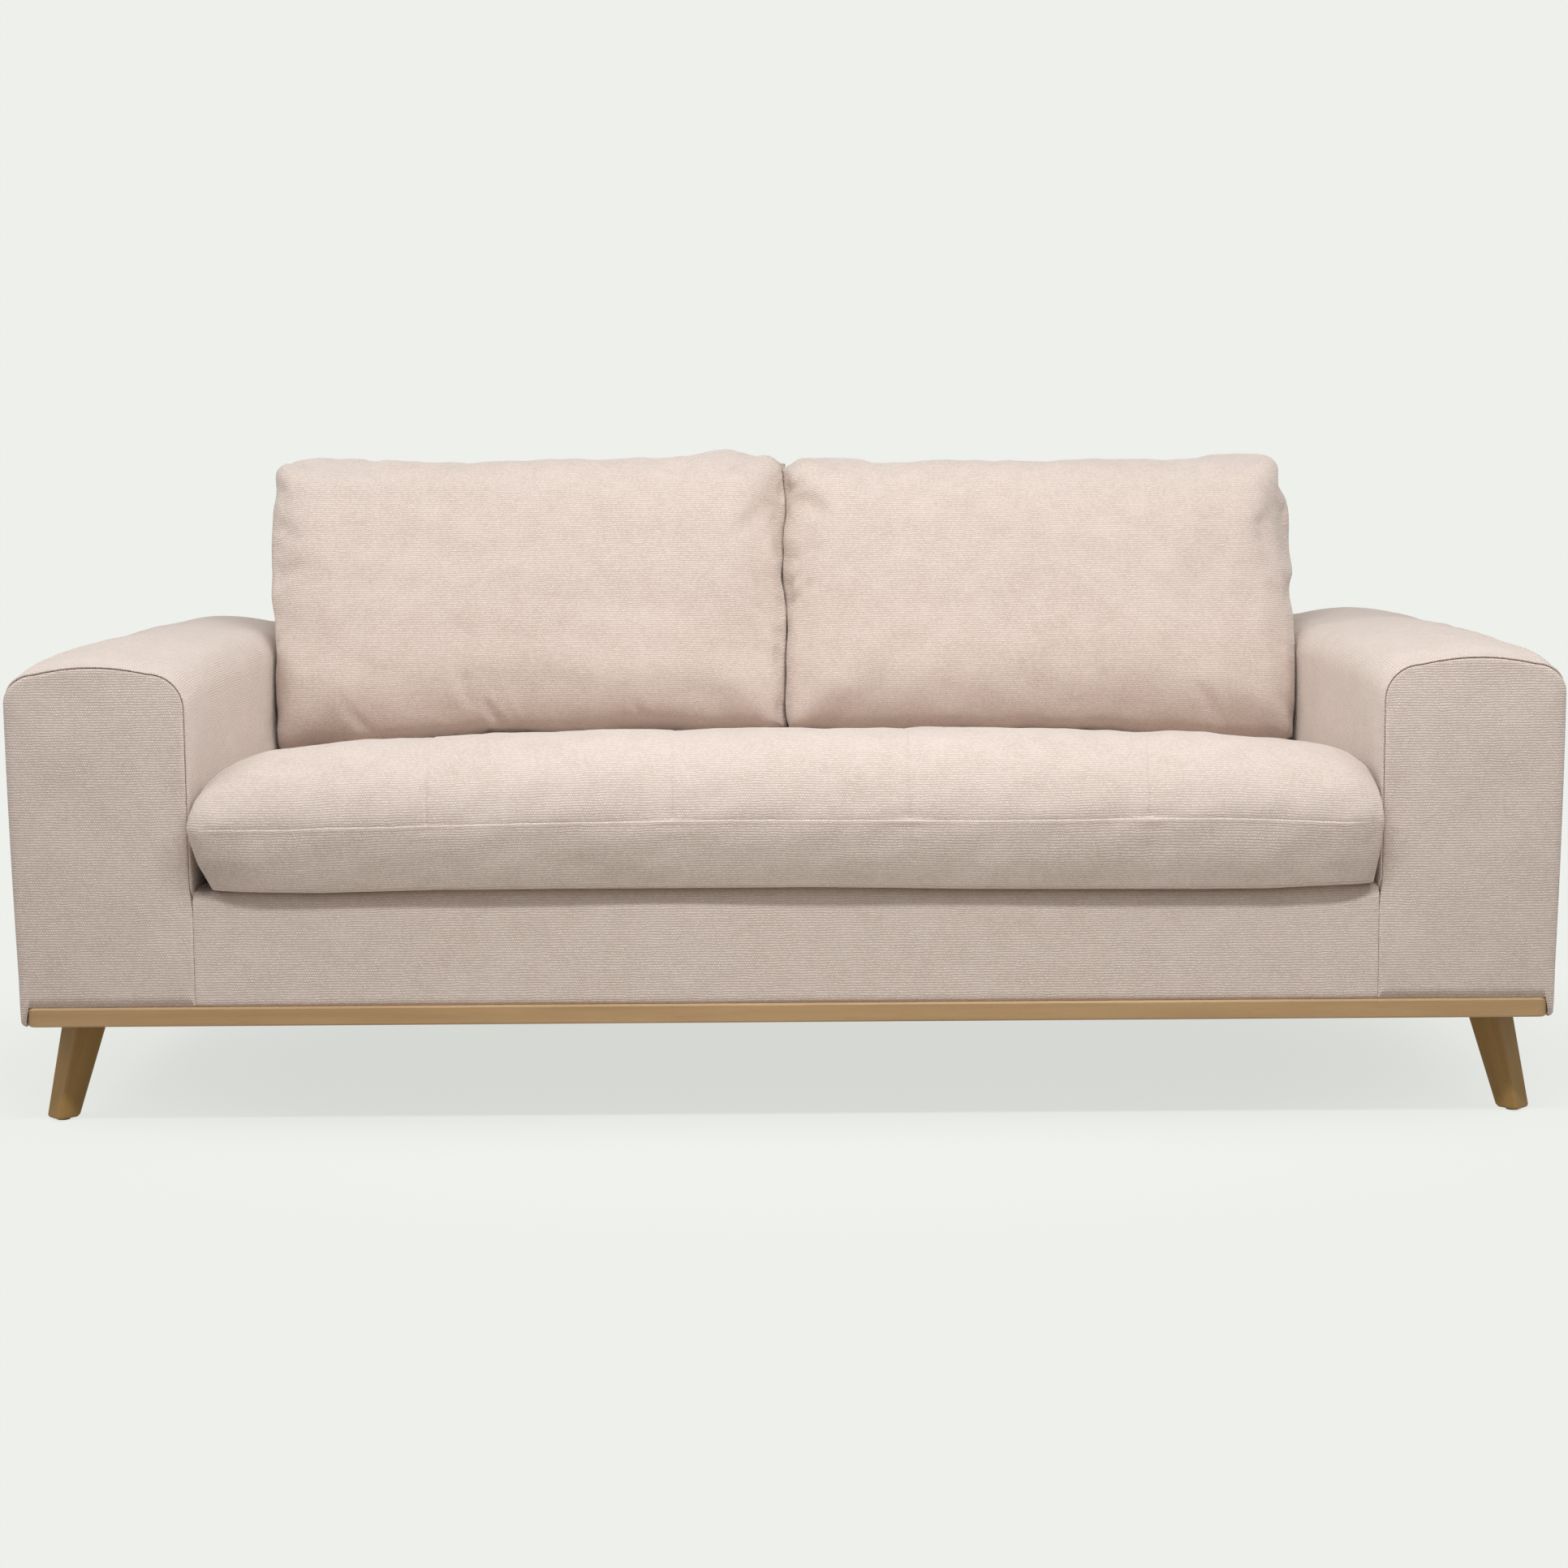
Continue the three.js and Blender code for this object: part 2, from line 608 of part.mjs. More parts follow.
// The padded inside back, carried over the top rail and down to the outside back.
function insideBack() {
  const foot = clipTop + GAP;
  const r = BACK_ROUND;
  const top = BACK_HEIGHT;
  const flap = top - OUTER_PANEL_DROP + GAP;
  const inner = postTop + GAP;
  const outline = [
    [padFront(foot), foot],
    ...arc(padFront(top - r) + r, top - r, r, r, Math.PI, QUARTER, 4),
    ...arc(rearFace(top - r) - r, top - r, r, r, QUARTER, 0, 4),
    [rearFace(flap), flap],
    [rearFace(flap) - OUTER_PANEL, flap],
    [rearFace(inner) - OUTER_PANEL, inner],
    [padRear(inner), inner],
    [padRear(foot), foot],
  ];
  return extrudeAcross(outline, -innerX + CUSHION_SIDE, innerX - CUSHION_SIDE);
}

// The outside back, with a return at each end that closes the side of the back frame.
function outsideBack() {
  const top = BACK_HEIGHT - OUTER_PANEL_DROP;
  const [foot, end] = [railFoot, innerX - GAP];
  const panel = [
    [rearFace(LEG_HEIGHT) - OUTER_PANEL, LEG_HEIGHT], [rearFace(LEG_HEIGHT), LEG_HEIGHT],
    [rearFace(top), top], [rearFace(top) - OUTER_PANEL, top],
  ];
  const middle = (z) => rearFace(z) - OUTER_PANEL / 2;
  const side = [
    [padRear(foot) + GAP, foot], [middle(foot), foot], [middle(top), top],
    [postRear(top), top], [postRear(postTop), postTop], [padRear(postTop) + GAP, postTop],
  ];
  return join(
    extrudeAcross(panel, -end, end),
    extrudeAcross(side, -end, -end + OUTER_PANEL),
    extrudeAcross(side, end - OUTER_PANEL, end),
  );
}

// ---- Loose cushions -------------------------------------------------------------------

// Height of the seat cushion's top, before its ends round off.
function seatTop(x, y) {
  const t = (y - SEAT_CROWN_Y) / (seatRear - SEAT_CROWN_Y);
  const thick = SEAT_THICK - (t > 0 ? SEAT_REAR_DROP * t ** SEAT_REAR_POWER : 0);
  return cushionFoot + thick * (1 - SEAT_END_DROP * Math.abs(x / innerX) ** SEAT_END_POWER);
}

// The seat's section at x: a full nose in front, crowned on top, flat underneath.
function seatSection(x, tuck) {
  const nose = cushionFoot + SEAT_NOSE;
  const crown = seatTop(x, SEAT_CROWN_Y);
  const round = SEAT_REAR_EDGE;
  const outline = [
    ...arc(SEAT_HEEL, nose, SEAT_HEEL - seatFront, nose - cushionFoot, 3 * QUARTER, Math.PI, 5, 2.5),
    ...arc(SEAT_CROWN_Y, nose, SEAT_CROWN_Y - seatFront, crown - nose, Math.PI, QUARTER, 9, 2.5).slice(1),
  ];
  for (let i = 1; i <= 5; i += 1) {
    const y = SEAT_CROWN_Y + ((seatRear - round - SEAT_CROWN_Y) * i) / 5;
    outline.push([y, seatTop(x, y)]);
  }
  const rearTop = seatTop(x, seatRear) - round;
  outline.push([seatRear, rearTop], [seatRear, cushionFoot + round], [seatRear - round, cushionFoot]);
  const middle = [(seatFront + seatRear) / 2, (cushionFoot + crown) / 2];
  const [kY, kZ] = [1 - tuck / (middle[0] - seatFront), 1 - tuck / (middle[1] - cushionFoot)];
  return outline.map(([y, z]) => new THREE.Vector3(
    x, middle[0] + kY * (y - middle[0]), middle[1] + kZ * (z - middle[1]),
  ));
}

function seatCushion() {
  const half = innerX - CUSHION_SIDE;
  const flatHalf = half - SEAT_END_ROUND;
  const places = [];
  for (let i = 0; i <= 8; i += 1) {
    places.push([-flatHalf + (2 * flatHalf * i) / 8, 0]);
  }
  for (let i = 1; i <= 4; i += 1) {
    const a = (QUARTER * i) / 4;
    const x = flatHalf + SEAT_END_ROUND * Math.sin(a);
    const tuck = SEAT_END_TUCK * (1 - Math.cos(a));
    places.push([x, tuck]);
    places.unshift([-x, tuck]);
  }
  return loft(places.map(([x, tuck]) => seatSection(x, tuck)), flatX);
}

// A back cushion between x0 (centre) and x1 (arm): its section is a rounded four-sided
// shape that leans on the padded back and stands on a plane touching the seat's crown.
function backCushion() {
  const x0 = CUSHION_SPLIT / 2;
  const x1 = innerX - CUSHION_SIDE;
  const touchX = (x0 + x1) / 2;
  const seatFall = seatTop(touchX + 1, backCushionFront) - seatTop(touchX - 1, backCushionFront);
  const slope = seatFall / 2;
  const rearSeat = seatRear - BACK_REST;
  const base = (y) => {
    const t = (y - backCushionFront) / (rearSeat - backCushionFront);
    const [a, b] = [seatTop(touchX, backCushionFront), seatTop(touchX, rearSeat)];
    return a + (b - a) * t + BACK_SETTLE + CUSHION_GAP;
  };
  const underAt = (x, y) => base(y) + slope * (x - touchX);
  const rear = (z) => padFront(z) - CUSHION_GAP;
  const section = (u) => {
    const x = x0 + ((x1 - x0) * (u + 1)) / 2;
    const edge = Math.abs(u) ** 6;
    const thin = 1 - BACK_END_TUCK * edge;
    const low = 1 - BACK_END_DROP * edge;
    const footZ = underAt(x, (backCushionFront + rearSeat) / 2);
    const ring = arc(0, 0, 1, 1, 0, 2 * Math.PI, 28, BACK_CUSHION_ROUND).slice(0, -1);
    return ring.map(([s, t]) => {
      const h = (1 + t * low) / 2; // 0 at the seat, 1 at the top
      const z = footZ + (BACK_CUSHION_TOP - footZ) * h;
      const back = rear(z);
      const topFront = rear(BACK_CUSHION_TOP) - BACK_CUSHION_THICK;
      const front = backCushionFront + (topFront - backCushionFront) * h;
      const mid = (back + front) / 2;
      const belly = s < 0 ? 1 + BACK_BELLY * (1 - t * t) * (1 - u * u) : 1;
      const y = mid + (s * thin * belly * (back - front)) / 2;
      const draw = u > 0 ? BACK_CUSHION_TAPER * h * h * u : 0;
      const settle = h < 0.5 ? (1 - 2 * h) * (underAt(x, y) - footZ) : 0;
      return new THREE.Vector3(x - draw, Math.min(y, back), z + settle);
    });
  };
  const stations = [-1, -0.97, -0.9, -0.75, -0.5, -0.2, 0.2, 0.5, 0.75, 0.9, 0.97, 1];
  return loft(stations.map(section), flatX);
}

// ---- Assembly -------------------------------------------------------------------------

const sofa = new THREE.Group();

const legPlaces = {
  front_left: [-1, LEG_INSET_Y],
  front_right: [1, LEG_INSET_Y],
  rear_left: [-1, ARM_LENGTH - LEG_INSET_Y],
  rear_right: [1, ARM_LENGTH - LEG_INSET_Y],
};
for (const [name, [sign, y]] of Object.entries(legPlaces)) {
  const leg = legGroup(name, sign * (outerX - LEG_INSET_X), y);
  sofa.add(leg);
  addMesh(sofa, `corner_block_${name}`, cornerBlock(leg), 'timber');
}

addMesh(sofa, 'plinth_front', plinthBoard(), 'beech');
addMesh(sofa, 'base_rail_rear', timber(
  'x', -baseX, baseX, baseRear - BASE_WIDTH, baseRear, LEG_HEIGHT, baseTop,
), 'timber');
for (const [side, sign] of [['left', -1], ['right', 1]]) {
  const xs = [sign * baseX, sign * (baseX - BASE_WIDTH)].sort((a, b) => a - b);
  const clear = BLOCK_LENGTH + 2 * GAP; // the corner blocks stand before and behind it
  const board = timber(
    'y', ...xs, baseFront + clear, baseRear - BASE_WIDTH - clear, LEG_HEIGHT, baseTop,
  );
  addMesh(sofa, `base_rail_${side}`, board, 'timber');
}

const sheetEdge = BASE_WIDTH / 2;
addMesh(sofa, 'dust_cover', box(
  sheetEdge - baseX, baseX - sheetEdge, ARM_PANEL + GAP, baseRear - sheetEdge,
  coverFoot, coverFoot + DUST_COVER,
), 'lining');

addMesh(sofa, 'seat_rail_front', timber(
  'x', -innerX + GAP, innerX - GAP, frontRail, frontRail + RAIL_THICK, railFoot, railTop,
), 'timber');
addMesh(sofa, 'seat_rail_rear', timber(
  'x', -innerX + GAP, innerX - GAP, rearRail, rearRail + RAIL_THICK, railFoot, railTop,
), 'timber');
addMesh(sofa, 'seat_rail_middle', timber(
  'y', -RAIL_THICK / 2, RAIL_THICK / 2, frontRail + RAIL_THICK + GAP, rearRail - GAP,
  railFoot, railFoot + STRETCHER_HEIGHT,
), 'timber');
addMesh(sofa, 'front_rail_cover', frontRailCover(), 'fabric');
addMesh(sofa, 'spring_clip_strip_front', clipStrip(frontRail, true), 'plastic');
addMesh(sofa, 'spring_clip_strip_rear', clipStrip(rearRail + RAIL_THICK, false), 'plastic');
addMesh(sofa, 'deck_pad', deckGeometry(), 'fabric');

const springCount = Math.round(SEAT_WIDTH / SPRING_SPACING);
for (let i = 0; i < springCount; i += 1) {
  const x = (i - (springCount - 1) / 2) * SPRING_SPACING;
  addMesh(sofa, `sinuous_spring_${i + 1}`, springGeometry(x), 'steel');
}

sofa.add(armGroup('left', -1), armGroup('right', 1));

addMesh(sofa, 'back_post_left', backPost(-postX, -postX + POST_THICK), 'timber');
addMesh(sofa, 'back_post_right', backPost(postX - POST_THICK, postX), 'timber');
addMesh(sofa, 'back_top_rail', backTopRail(), 'timber');
for (let i = 0; i < STRAP_COUNT; i += 1) {
  addMesh(sofa, `back_strap_${i + 1}`, backStrap(STRAP_FIRST + i * STRAP_SPACING), 'webbing');
}
addMesh(sofa, 'inside_back_pad', insideBack(), 'fabric');
addMesh(sofa, 'outside_back_panel', outsideBack(), 'fabric');

addMesh(sofa, 'seat_cushion', seatCushion(), 'fabric');
addMesh(sofa, 'back_cushion_right', backCushion(), 'fabric');
addMesh(sofa, 'back_cushion_left', mirrored(backCushion()), 'fabric');

// The origin is on the floor, below the middle of the sofa's own footprint.
sofa.updateMatrixWorld(true);
const reach = new THREE.Box3().setFromObject(sofa);
sofa.position.set(0, -(reach.min.y + reach.max.y) / 2, -reach.min.z);
sofa.updateMatrixWorld(true);

export default sofa;
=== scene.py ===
"""Looks of a three-seat sofa on splayed wooden legs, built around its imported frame.

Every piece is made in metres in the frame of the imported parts: +Z is up and the front
faces -Y. Depths are measured back from the plane of the arm fronts.
"""
import logging
import math
from dataclasses import dataclass, field, replace
from enum import Enum
from typing import Iterable

import bmesh
import bpy
import numpy as np
from mathutils import Matrix, Vector


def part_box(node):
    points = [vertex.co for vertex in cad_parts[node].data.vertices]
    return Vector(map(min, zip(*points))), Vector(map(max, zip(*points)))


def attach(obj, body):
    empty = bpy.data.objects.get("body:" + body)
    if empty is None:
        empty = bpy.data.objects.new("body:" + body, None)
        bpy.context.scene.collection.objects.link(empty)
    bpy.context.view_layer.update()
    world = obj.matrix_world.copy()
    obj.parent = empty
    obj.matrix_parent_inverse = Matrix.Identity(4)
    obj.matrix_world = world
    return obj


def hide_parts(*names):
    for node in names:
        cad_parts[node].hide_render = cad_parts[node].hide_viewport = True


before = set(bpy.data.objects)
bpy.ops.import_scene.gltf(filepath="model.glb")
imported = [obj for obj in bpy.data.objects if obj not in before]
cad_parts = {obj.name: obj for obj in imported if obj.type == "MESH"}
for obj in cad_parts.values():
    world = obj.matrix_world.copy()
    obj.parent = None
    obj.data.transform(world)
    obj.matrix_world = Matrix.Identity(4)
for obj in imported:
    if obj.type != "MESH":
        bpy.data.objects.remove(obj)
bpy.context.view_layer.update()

LOG = logging.getLogger("sofa")
Grid = np.ndarray
TURN = 2 * math.pi
UP, LEVEL, DOWN, BACK = math.pi / 2, 0.0, -math.pi / 2, math.pi  # directions of a section's arcs


# ---- Places ---------------------------------------------------------------------------


@dataclass(frozen=True)
class Places:
    """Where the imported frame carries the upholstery, in metres.

    Attributes:
        front: y of the arm fronts.
        inner: x of the arms' inner faces.
        rear: depth of the arms' rear.
        base: underside of the base.
        cover_foot: top of the plinth.
        deck: platform under the seat cushion.
        arm_top: top of the arm at its front panel.
        back_top: top of the padded back.
    """

    front: float
    inner: float
    rear: float
    base: float
    cover_foot: float
    deck: float
    arm_top: float
    back_top: float

    @classmethod
    def measured(cls) -> "Places":
        """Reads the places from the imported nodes."""
        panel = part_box("arm_front_panel_right")
        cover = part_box("arm_cover_right")
        return cls(
            front=panel[0][1],
            inner=cover[0][0],
            rear=cover[1][1] - panel[0][1],
            base=cover[0][2],
            cover_foot=panel[0][2],
            deck=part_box("deck_pad")[1][2],
            arm_top=panel[1][2] + 0.003,
            back_top=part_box("inside_back_pad")[1][2],
        )

    def y(self, depth: float | Grid) -> float | Grid:
        """Turns a depth behind the arm fronts into y."""
        return self.front + depth


class Side(Enum):
    """The sofa's two ends, as seen from the front."""

    LEFT = -1
    RIGHT = 1

    @property
    def tag(self) -> str:
        """The word that node names use."""
        return self.name.lower()


# ---- Grids and meshes -----------------------------------------------------------------


def run_of(points: Grid) -> Grid:
    """Length along a polyline to each of its points, in metres."""
    return np.concatenate([[0.0], np.cumsum(np.linalg.norm(np.diff(points, axis=0), axis=1))])


def resampled(points: Grid, places: Grid) -> Grid:
    """Points at given lengths along a polyline.

    Args:
        points: The polyline, one row a point.
        places: Lengths along it, in metres.

    Returns:
        One row for each place.
    """
    run = run_of(points)
    return np.stack([np.interp(places, run, column) for column in points.T], axis=1)


def length_of(points: Grid) -> float:
    """Length of a polyline, in metres."""
    return float(np.linalg.norm(np.diff(points, axis=0), axis=1).sum())


def arc(
    centre: tuple[float, float], radii: tuple[float, float], start: float, end: float, count: int
) -> Grid:
    """Points of an arc of an ellipse.

    Args:
        centre: Its centre.
        radii: Its half width and half height.
        start: Its first angle.
        end: Its last angle.
        count: Number of points.

    Returns:
        One row for each point.
    """
    angle = np.linspace(start, end, count)
    return np.stack([
        centre[0] + radii[0] * np.cos(angle), centre[1] + radii[1] * np.sin(angle)
    ], 1)


def spaced(low: float, high: float, step: float, seams: Iterable[float] = ()) -> Grid:
    """Even places between two ends, with close extra ones around each seam.

    Args:
        low: First place.
        high: Last place.
        step: Largest gap between places.
        seams: Places that need fine steps around them.

    Returns:
        The places in order.
    """
    seam_room, least_step = 0.0075, 0.0004
    even = np.linspace(low, high, max(2, int(round((high - low) / step)) + 1))
    near = np.array([-5.5, -3.2, -1.8, -0.9, 0.0, 0.9, 1.8, 3.2, 5.5]) * 0.001
    extra = [seam + offset for seam in seams for offset in near if low < seam + offset < high]
    clear = [e for e in even if all(abs(e - seam) > seam_room for seam in seams)]
    clear = sorted({low, high, *clear, *extra})
    kept = [clear[0]]
    for place in clear[1:]:
        if place - kept[-1] > least_step:
            kept.append(place)
    return np.array(kept)


def ring_lengths(grid: Grid) -> Grid:
    """Length along each ring of a grid, from its first point."""
    steps = np.linalg.norm(np.diff(grid, axis=1), axis=2)
    return np.concatenate([np.zeros((len(grid), 1)), np.cumsum(steps, axis=1)], axis=1)


def swept(xs: Grid, section: Grid) -> Grid:
    """A section of (depth, z) points carried along x, as a grid."""
    grid = np.empty((len(xs), len(section), 3))
    grid[..., 0] = xs[:, None]
    grid[..., 1:] = section
    return grid


def cloth_of(grid: Grid) -> Grid:
    """Cloth coordinates of a swept grid: x, and the length round its section."""
    return np.stack([grid[..., 0], ring_lengths(grid)], axis=2)


def normals_of(grid: Grid, wrapped: bool) -> Grid:
    """Outward unit normals of a grid of points.

    Args:
        grid: Points as (station, ring, 3).
        wrapped: Whether the last ring point joins the first.

    Returns:
        One unit vector for each point.
    """
    along = np.gradient(grid, axis=0)
    if wrapped:
        across = np.roll(grid, -1, axis=1) - np.roll(grid, 1, axis=1)
    else:
        across = np.gradient(grid, axis=1)
    normal = np.cross(along, across)
    normal /= np.maximum(np.linalg.norm(normal, axis=2, keepdims=True), 1e-12)
    outward = grid - grid.reshape(-1, 3).mean(axis=0)
    return normal if (normal * outward).sum() > 0 else -normal


def ripple(u: Grid, v: Grid, wave: float, seed: int, count: int = 9) -> Grid:
    """Smooth repeatable unevenness, about -1 to 1, from crossing waves.

    Args:
        u: First coordinate, in metres.
        v: Second coordinate, in metres.
        wave: Typical wavelength, in metres.
        seed: Seed of the directions and phases.
        count: Number of waves.

    Returns:
        The height at each point.
    """
    draw = np.random.default_rng(seed)
    total = np.zeros(np.broadcast(u, v).shape)
    for _ in range(count):
        angle, phase = draw.uniform(0, TURN, 2)
        number = TURN / (wave * draw.uniform(0.7, 1.5))
        total += np.sin(number * (u * math.cos(angle) + v * math.sin(angle)) + phase)
    return total / math.sqrt(count)


def bump(distance: Grid, width: float) -> Grid:
    """Bell curve of a distance: 1 at the line and 0 well away from it."""
    return np.exp(-((distance / width) ** 2))


def smoothstep(value: Grid, low: float, high: float) -> Grid:
    """0 below low, 1 above high and smooth between them."""
    t = np.clip((value - low) / (high - low), 0, 1)
    return t * t * (3 - 2 * t)


def welded(grid: Grid, wrapped: bool) -> tuple[Grid, list[list[int]], Grid]:
    """Joins the points of a grid that meet, and makes its faces.

    Args:
        grid: Points as (station, ring, 3).
        wrapped: Whether the last ring point joins the first.

    Returns:
        The separate points, the faces, and for each grid point its place among the points.
    """
    rows, columns = grid.shape[:2]
    keys = np.round(grid.reshape(-1, 3) * 1e5).astype(np.int64)
    _, first, home = np.unique(keys, axis=0, return_index=True, return_inverse=True)
    home = home.reshape(-1)
    index = home.reshape(rows, columns)
    right = np.roll(index, -1, axis=1) if wrapped else index[:, 1:]
    left = index if wrapped else index[:, :-1]
    quads = np.stack([left[:-1], right[:-1], right[1:], left[1:]], axis=2).reshape(-1, 4)
    same = [quads[:, i] == quads[:, (i + 1) % 4] for i in range(4)]
    whole = ~(same[0] | same[1] | same[2] | same[3])
    faces = quads[whole].tolist()
    for quad in quads[~whole].tolist():
        corners = [c for i, c in enumerate(quad) if c != quad[i - 1]]
        if len(set(corners)) == len(corners) >= 3:
            faces.append(corners)
    return grid.reshape(-1, 3)[first], faces, home


def mesh_piece(
    name: str, grid: Grid, cloth: Grid, wrapped: bool = True, close: bool = False
) -> tuple[bpy.types.Object, Grid]:
    """Makes one closed piece from a grid, welded where its points meet.

    Args:
        name: Name of the piece.
        grid: Points as (station, ring, 3).
        cloth: Cloth coordinates in metres as (station, ring, 2).
        wrapped: Whether the last ring point joins the first.
        close: Whether its open rims are filled.

    Returns:
        The new object, smooth shaded, with its cloth coordinates as an attribute, and for
        each grid point its place among the object's points.
    """
    points, faces, home = welded(grid, wrapped)
    mesh = bpy.data.meshes.new(name)
    mesh.from_pydata(points.tolist(), [], faces)
    values = np.zeros((len(points), 3), dtype=np.float32)
    values[home, :2] = cloth.reshape(-1, 2)
    layer = mesh.attributes.new("cloth", "FLOAT_VECTOR", "POINT")
    layer.data.foreach_set("vector", values.ravel())
    shape = bmesh.new()
    shape.from_mesh(mesh)
    if close:
        rim = [edge for edge in shape.edges if edge.is_boundary]
        bmesh.ops.holes_fill(shape, edges=rim, sides=0)
    bmesh.ops.recalc_face_normals(shape, faces=shape.faces)
    shape.to_mesh(mesh)
    shape.free()
    mesh.polygons.foreach_set("use_smooth", [True] * len(mesh.polygons))
    piece = bpy.data.objects.new(name, mesh)
    bpy.context.collection.objects.link(piece)
    return piece, home


def points_of(mesh: bpy.types.Mesh) -> Grid:
    """Places of a mesh's points, one row a point."""
    places = np.zeros(len(mesh.vertices) * 3)
    mesh.vertices.foreach_get("co", places)
    return places.reshape(-1, 3)


def applied(piece: bpy.types.Object) -> None:
    """Turns a piece's modifiers into its mesh."""
    graph = bpy.context.evaluated_depsgraph_get()
    result = bpy.data.meshes.new_from_object(piece.evaluated_get(graph))
    old = piece.data
    piece.modifiers.clear()
    piece.data = result
    result.name = piece.name
    bpy.data.meshes.remove(old)


@dataclass(frozen=True)
class Stuffing:
    """A short cloth simulation that fills a sewn cover.

    Attributes:
        pressure: Pressure of the filling.
        ease: How much larger the cloth is cut than the shape, as a share.
        bending: Stiffness of the cloth against folding.
        reach: Furthest that a point may move, in metres.
        frames: Length of the simulation.
    """

    pressure: float = 4.0
    ease: float = 0.02
    bending: float = 0.4
    reach: float = 0.012
    frames: int = 20

    def fill(self, piece: bpy.types.Object, held: Grid) -> Grid:
        """Simulates a piece and puts the result into its mesh.

        Args:
            piece: The piece at its cut shape.
            held: How firmly each point is held, 0 to 1.

        Returns:
            The new places of its points.
        """
        start = points_of(piece.data)
        group = piece.vertex_groups.new(name="held")
        for level in np.unique(np.round(held, 2)):
            if level > 0:
                members = np.nonzero(np.round(held, 2) == level)[0].tolist()
                group.add(members, float(level), "REPLACE")
        cloth = piece.modifiers.new("Cloth", "CLOTH")
        rules = {
            "quality": 6, "mass": 0.3, "tension_stiffness": 18, "compression_stiffness": 12,
            "shear_stiffness": 6, "bending_stiffness": self.bending, "use_pressure": True,
            "uniform_pressure_force": self.pressure, "shrink_min": -self.ease,
            "vertex_group_mass": "held", "pin_stiffness": 1.0,
        }
        for rule, value in rules.items():
            setattr(cloth.settings, rule, value)
        cloth.settings.effector_weights.gravity = 0.0
        cloth.collision_settings.use_collision = False
        cloth.collision_settings.use_self_collision = False
        cloth.point_cache.frame_start, cloth.point_cache.frame_end = 1, self.frames
        scene = bpy.context.scene
        for number in range(1, self.frames + 1):
            scene.frame_set(number)
        graph = bpy.context.evaluated_depsgraph_get()
        shift = points_of(piece.evaluated_get(graph).data) - start
        size = np.linalg.norm(shift, axis=1, keepdims=True)
        limit = self.reach * np.tanh(size / self.reach)
        points = start + shift * limit / np.maximum(size, 1e-9)
        piece.modifiers.clear()
        piece.vertex_groups.clear()
        scene.frame_set(1)
        LOG.info("%s: filled, moved up to %.1f mm", piece.name, 1000 * float(limit.max()))
        return points


def outfit(
    piece: bpy.types.Object,
    material: bpy.types.Material,
    body: str,
    nodes: Iterable[str],
) -> None:
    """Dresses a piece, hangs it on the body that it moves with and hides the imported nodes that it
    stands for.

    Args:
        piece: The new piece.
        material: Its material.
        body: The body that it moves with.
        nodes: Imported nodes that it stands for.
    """
    piece.data.materials.clear()
    piece.data.materials.append(material)
    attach(piece, body)
    nodes = list(nodes)
    if nodes:
        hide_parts(*nodes)
    LOG.info("%s: %d faces on %s", piece.name, len(piece.data.polygons), body)


# ---- Node groups and materials --------------------------------------------------------


Colour = tuple[float, float, float]


def linear(red: int, green: int, blue: int) -> Colour:
    """Turns an 8-bit display colour into a scene colour."""
    def one(value: float) -> float:
        value /= 255
        return value / 12.92 if value <= 0.04045 else ((value + 0.055) / 1.055) ** 2.4
    return one(red), one(green), one(blue)


def socket_value(value):
    """Gives a colour its alpha, and leaves a number or a socket as it is."""
    return (*value, 1.0) if isinstance(value, tuple) else value


class Graph:
    """Adds and links nodes of one node tree in few words."""

    def __init__(self, tree: bpy.types.NodeTree) -> None:
        """Takes the tree to add to."""
        self.tree = tree

    def add(self, kind: str, inputs: dict | None = None, **settings) -> bpy.types.Node:
        """Adds a node.

        Args:
            kind: The node's class name.
            inputs: Values or sockets, by input name or index.
            **settings: Properties of the node.

        Returns:
            The new node.
        """
        node = self.tree.nodes.new(kind)
        for key, value in settings.items():
            setattr(node, key, value)
        for key, value in (inputs or {}).items():
            if isinstance(value, bpy.types.NodeSocket):
                self.tree.links.new(value, node.inputs[key])
            else:
                node.inputs[key].default_value = value
        return node

    def math(self, operation: str, *values) -> bpy.types.NodeSocket:
        """Adds a Math node and returns its output."""
        node = self.add("ShaderNodeMath", dict(enumerate(values)), operation=operation)
        return node.outputs[0]

    def vector(self, operation: str, *values) -> bpy.types.NodeSocket:
        """Adds a Vector Math node and returns its vector."""
        node = self.add("ShaderNodeVectorMath", dict(enumerate(values)), operation=operation)
        return node.outputs[0]

    def noise(self, vector, scale, detail: float = 2.0) -> bpy.types.NodeSocket:
        """Adds a Noise texture and returns its value."""
        inputs = {"Vector": vector, "Scale": scale, "Detail": detail}
        return self.add("ShaderNodeTexNoise", inputs).outputs["Fac"]

    def mix(self, factor, first, second) -> bpy.types.NodeSocket:
        """Adds a colour Mix node and returns its result."""
        inputs = {0: factor, 6: socket_value(first), 7: socket_value(second)}
        return self.add("ShaderNodeMix", inputs, data_type="RGBA").outputs[2]


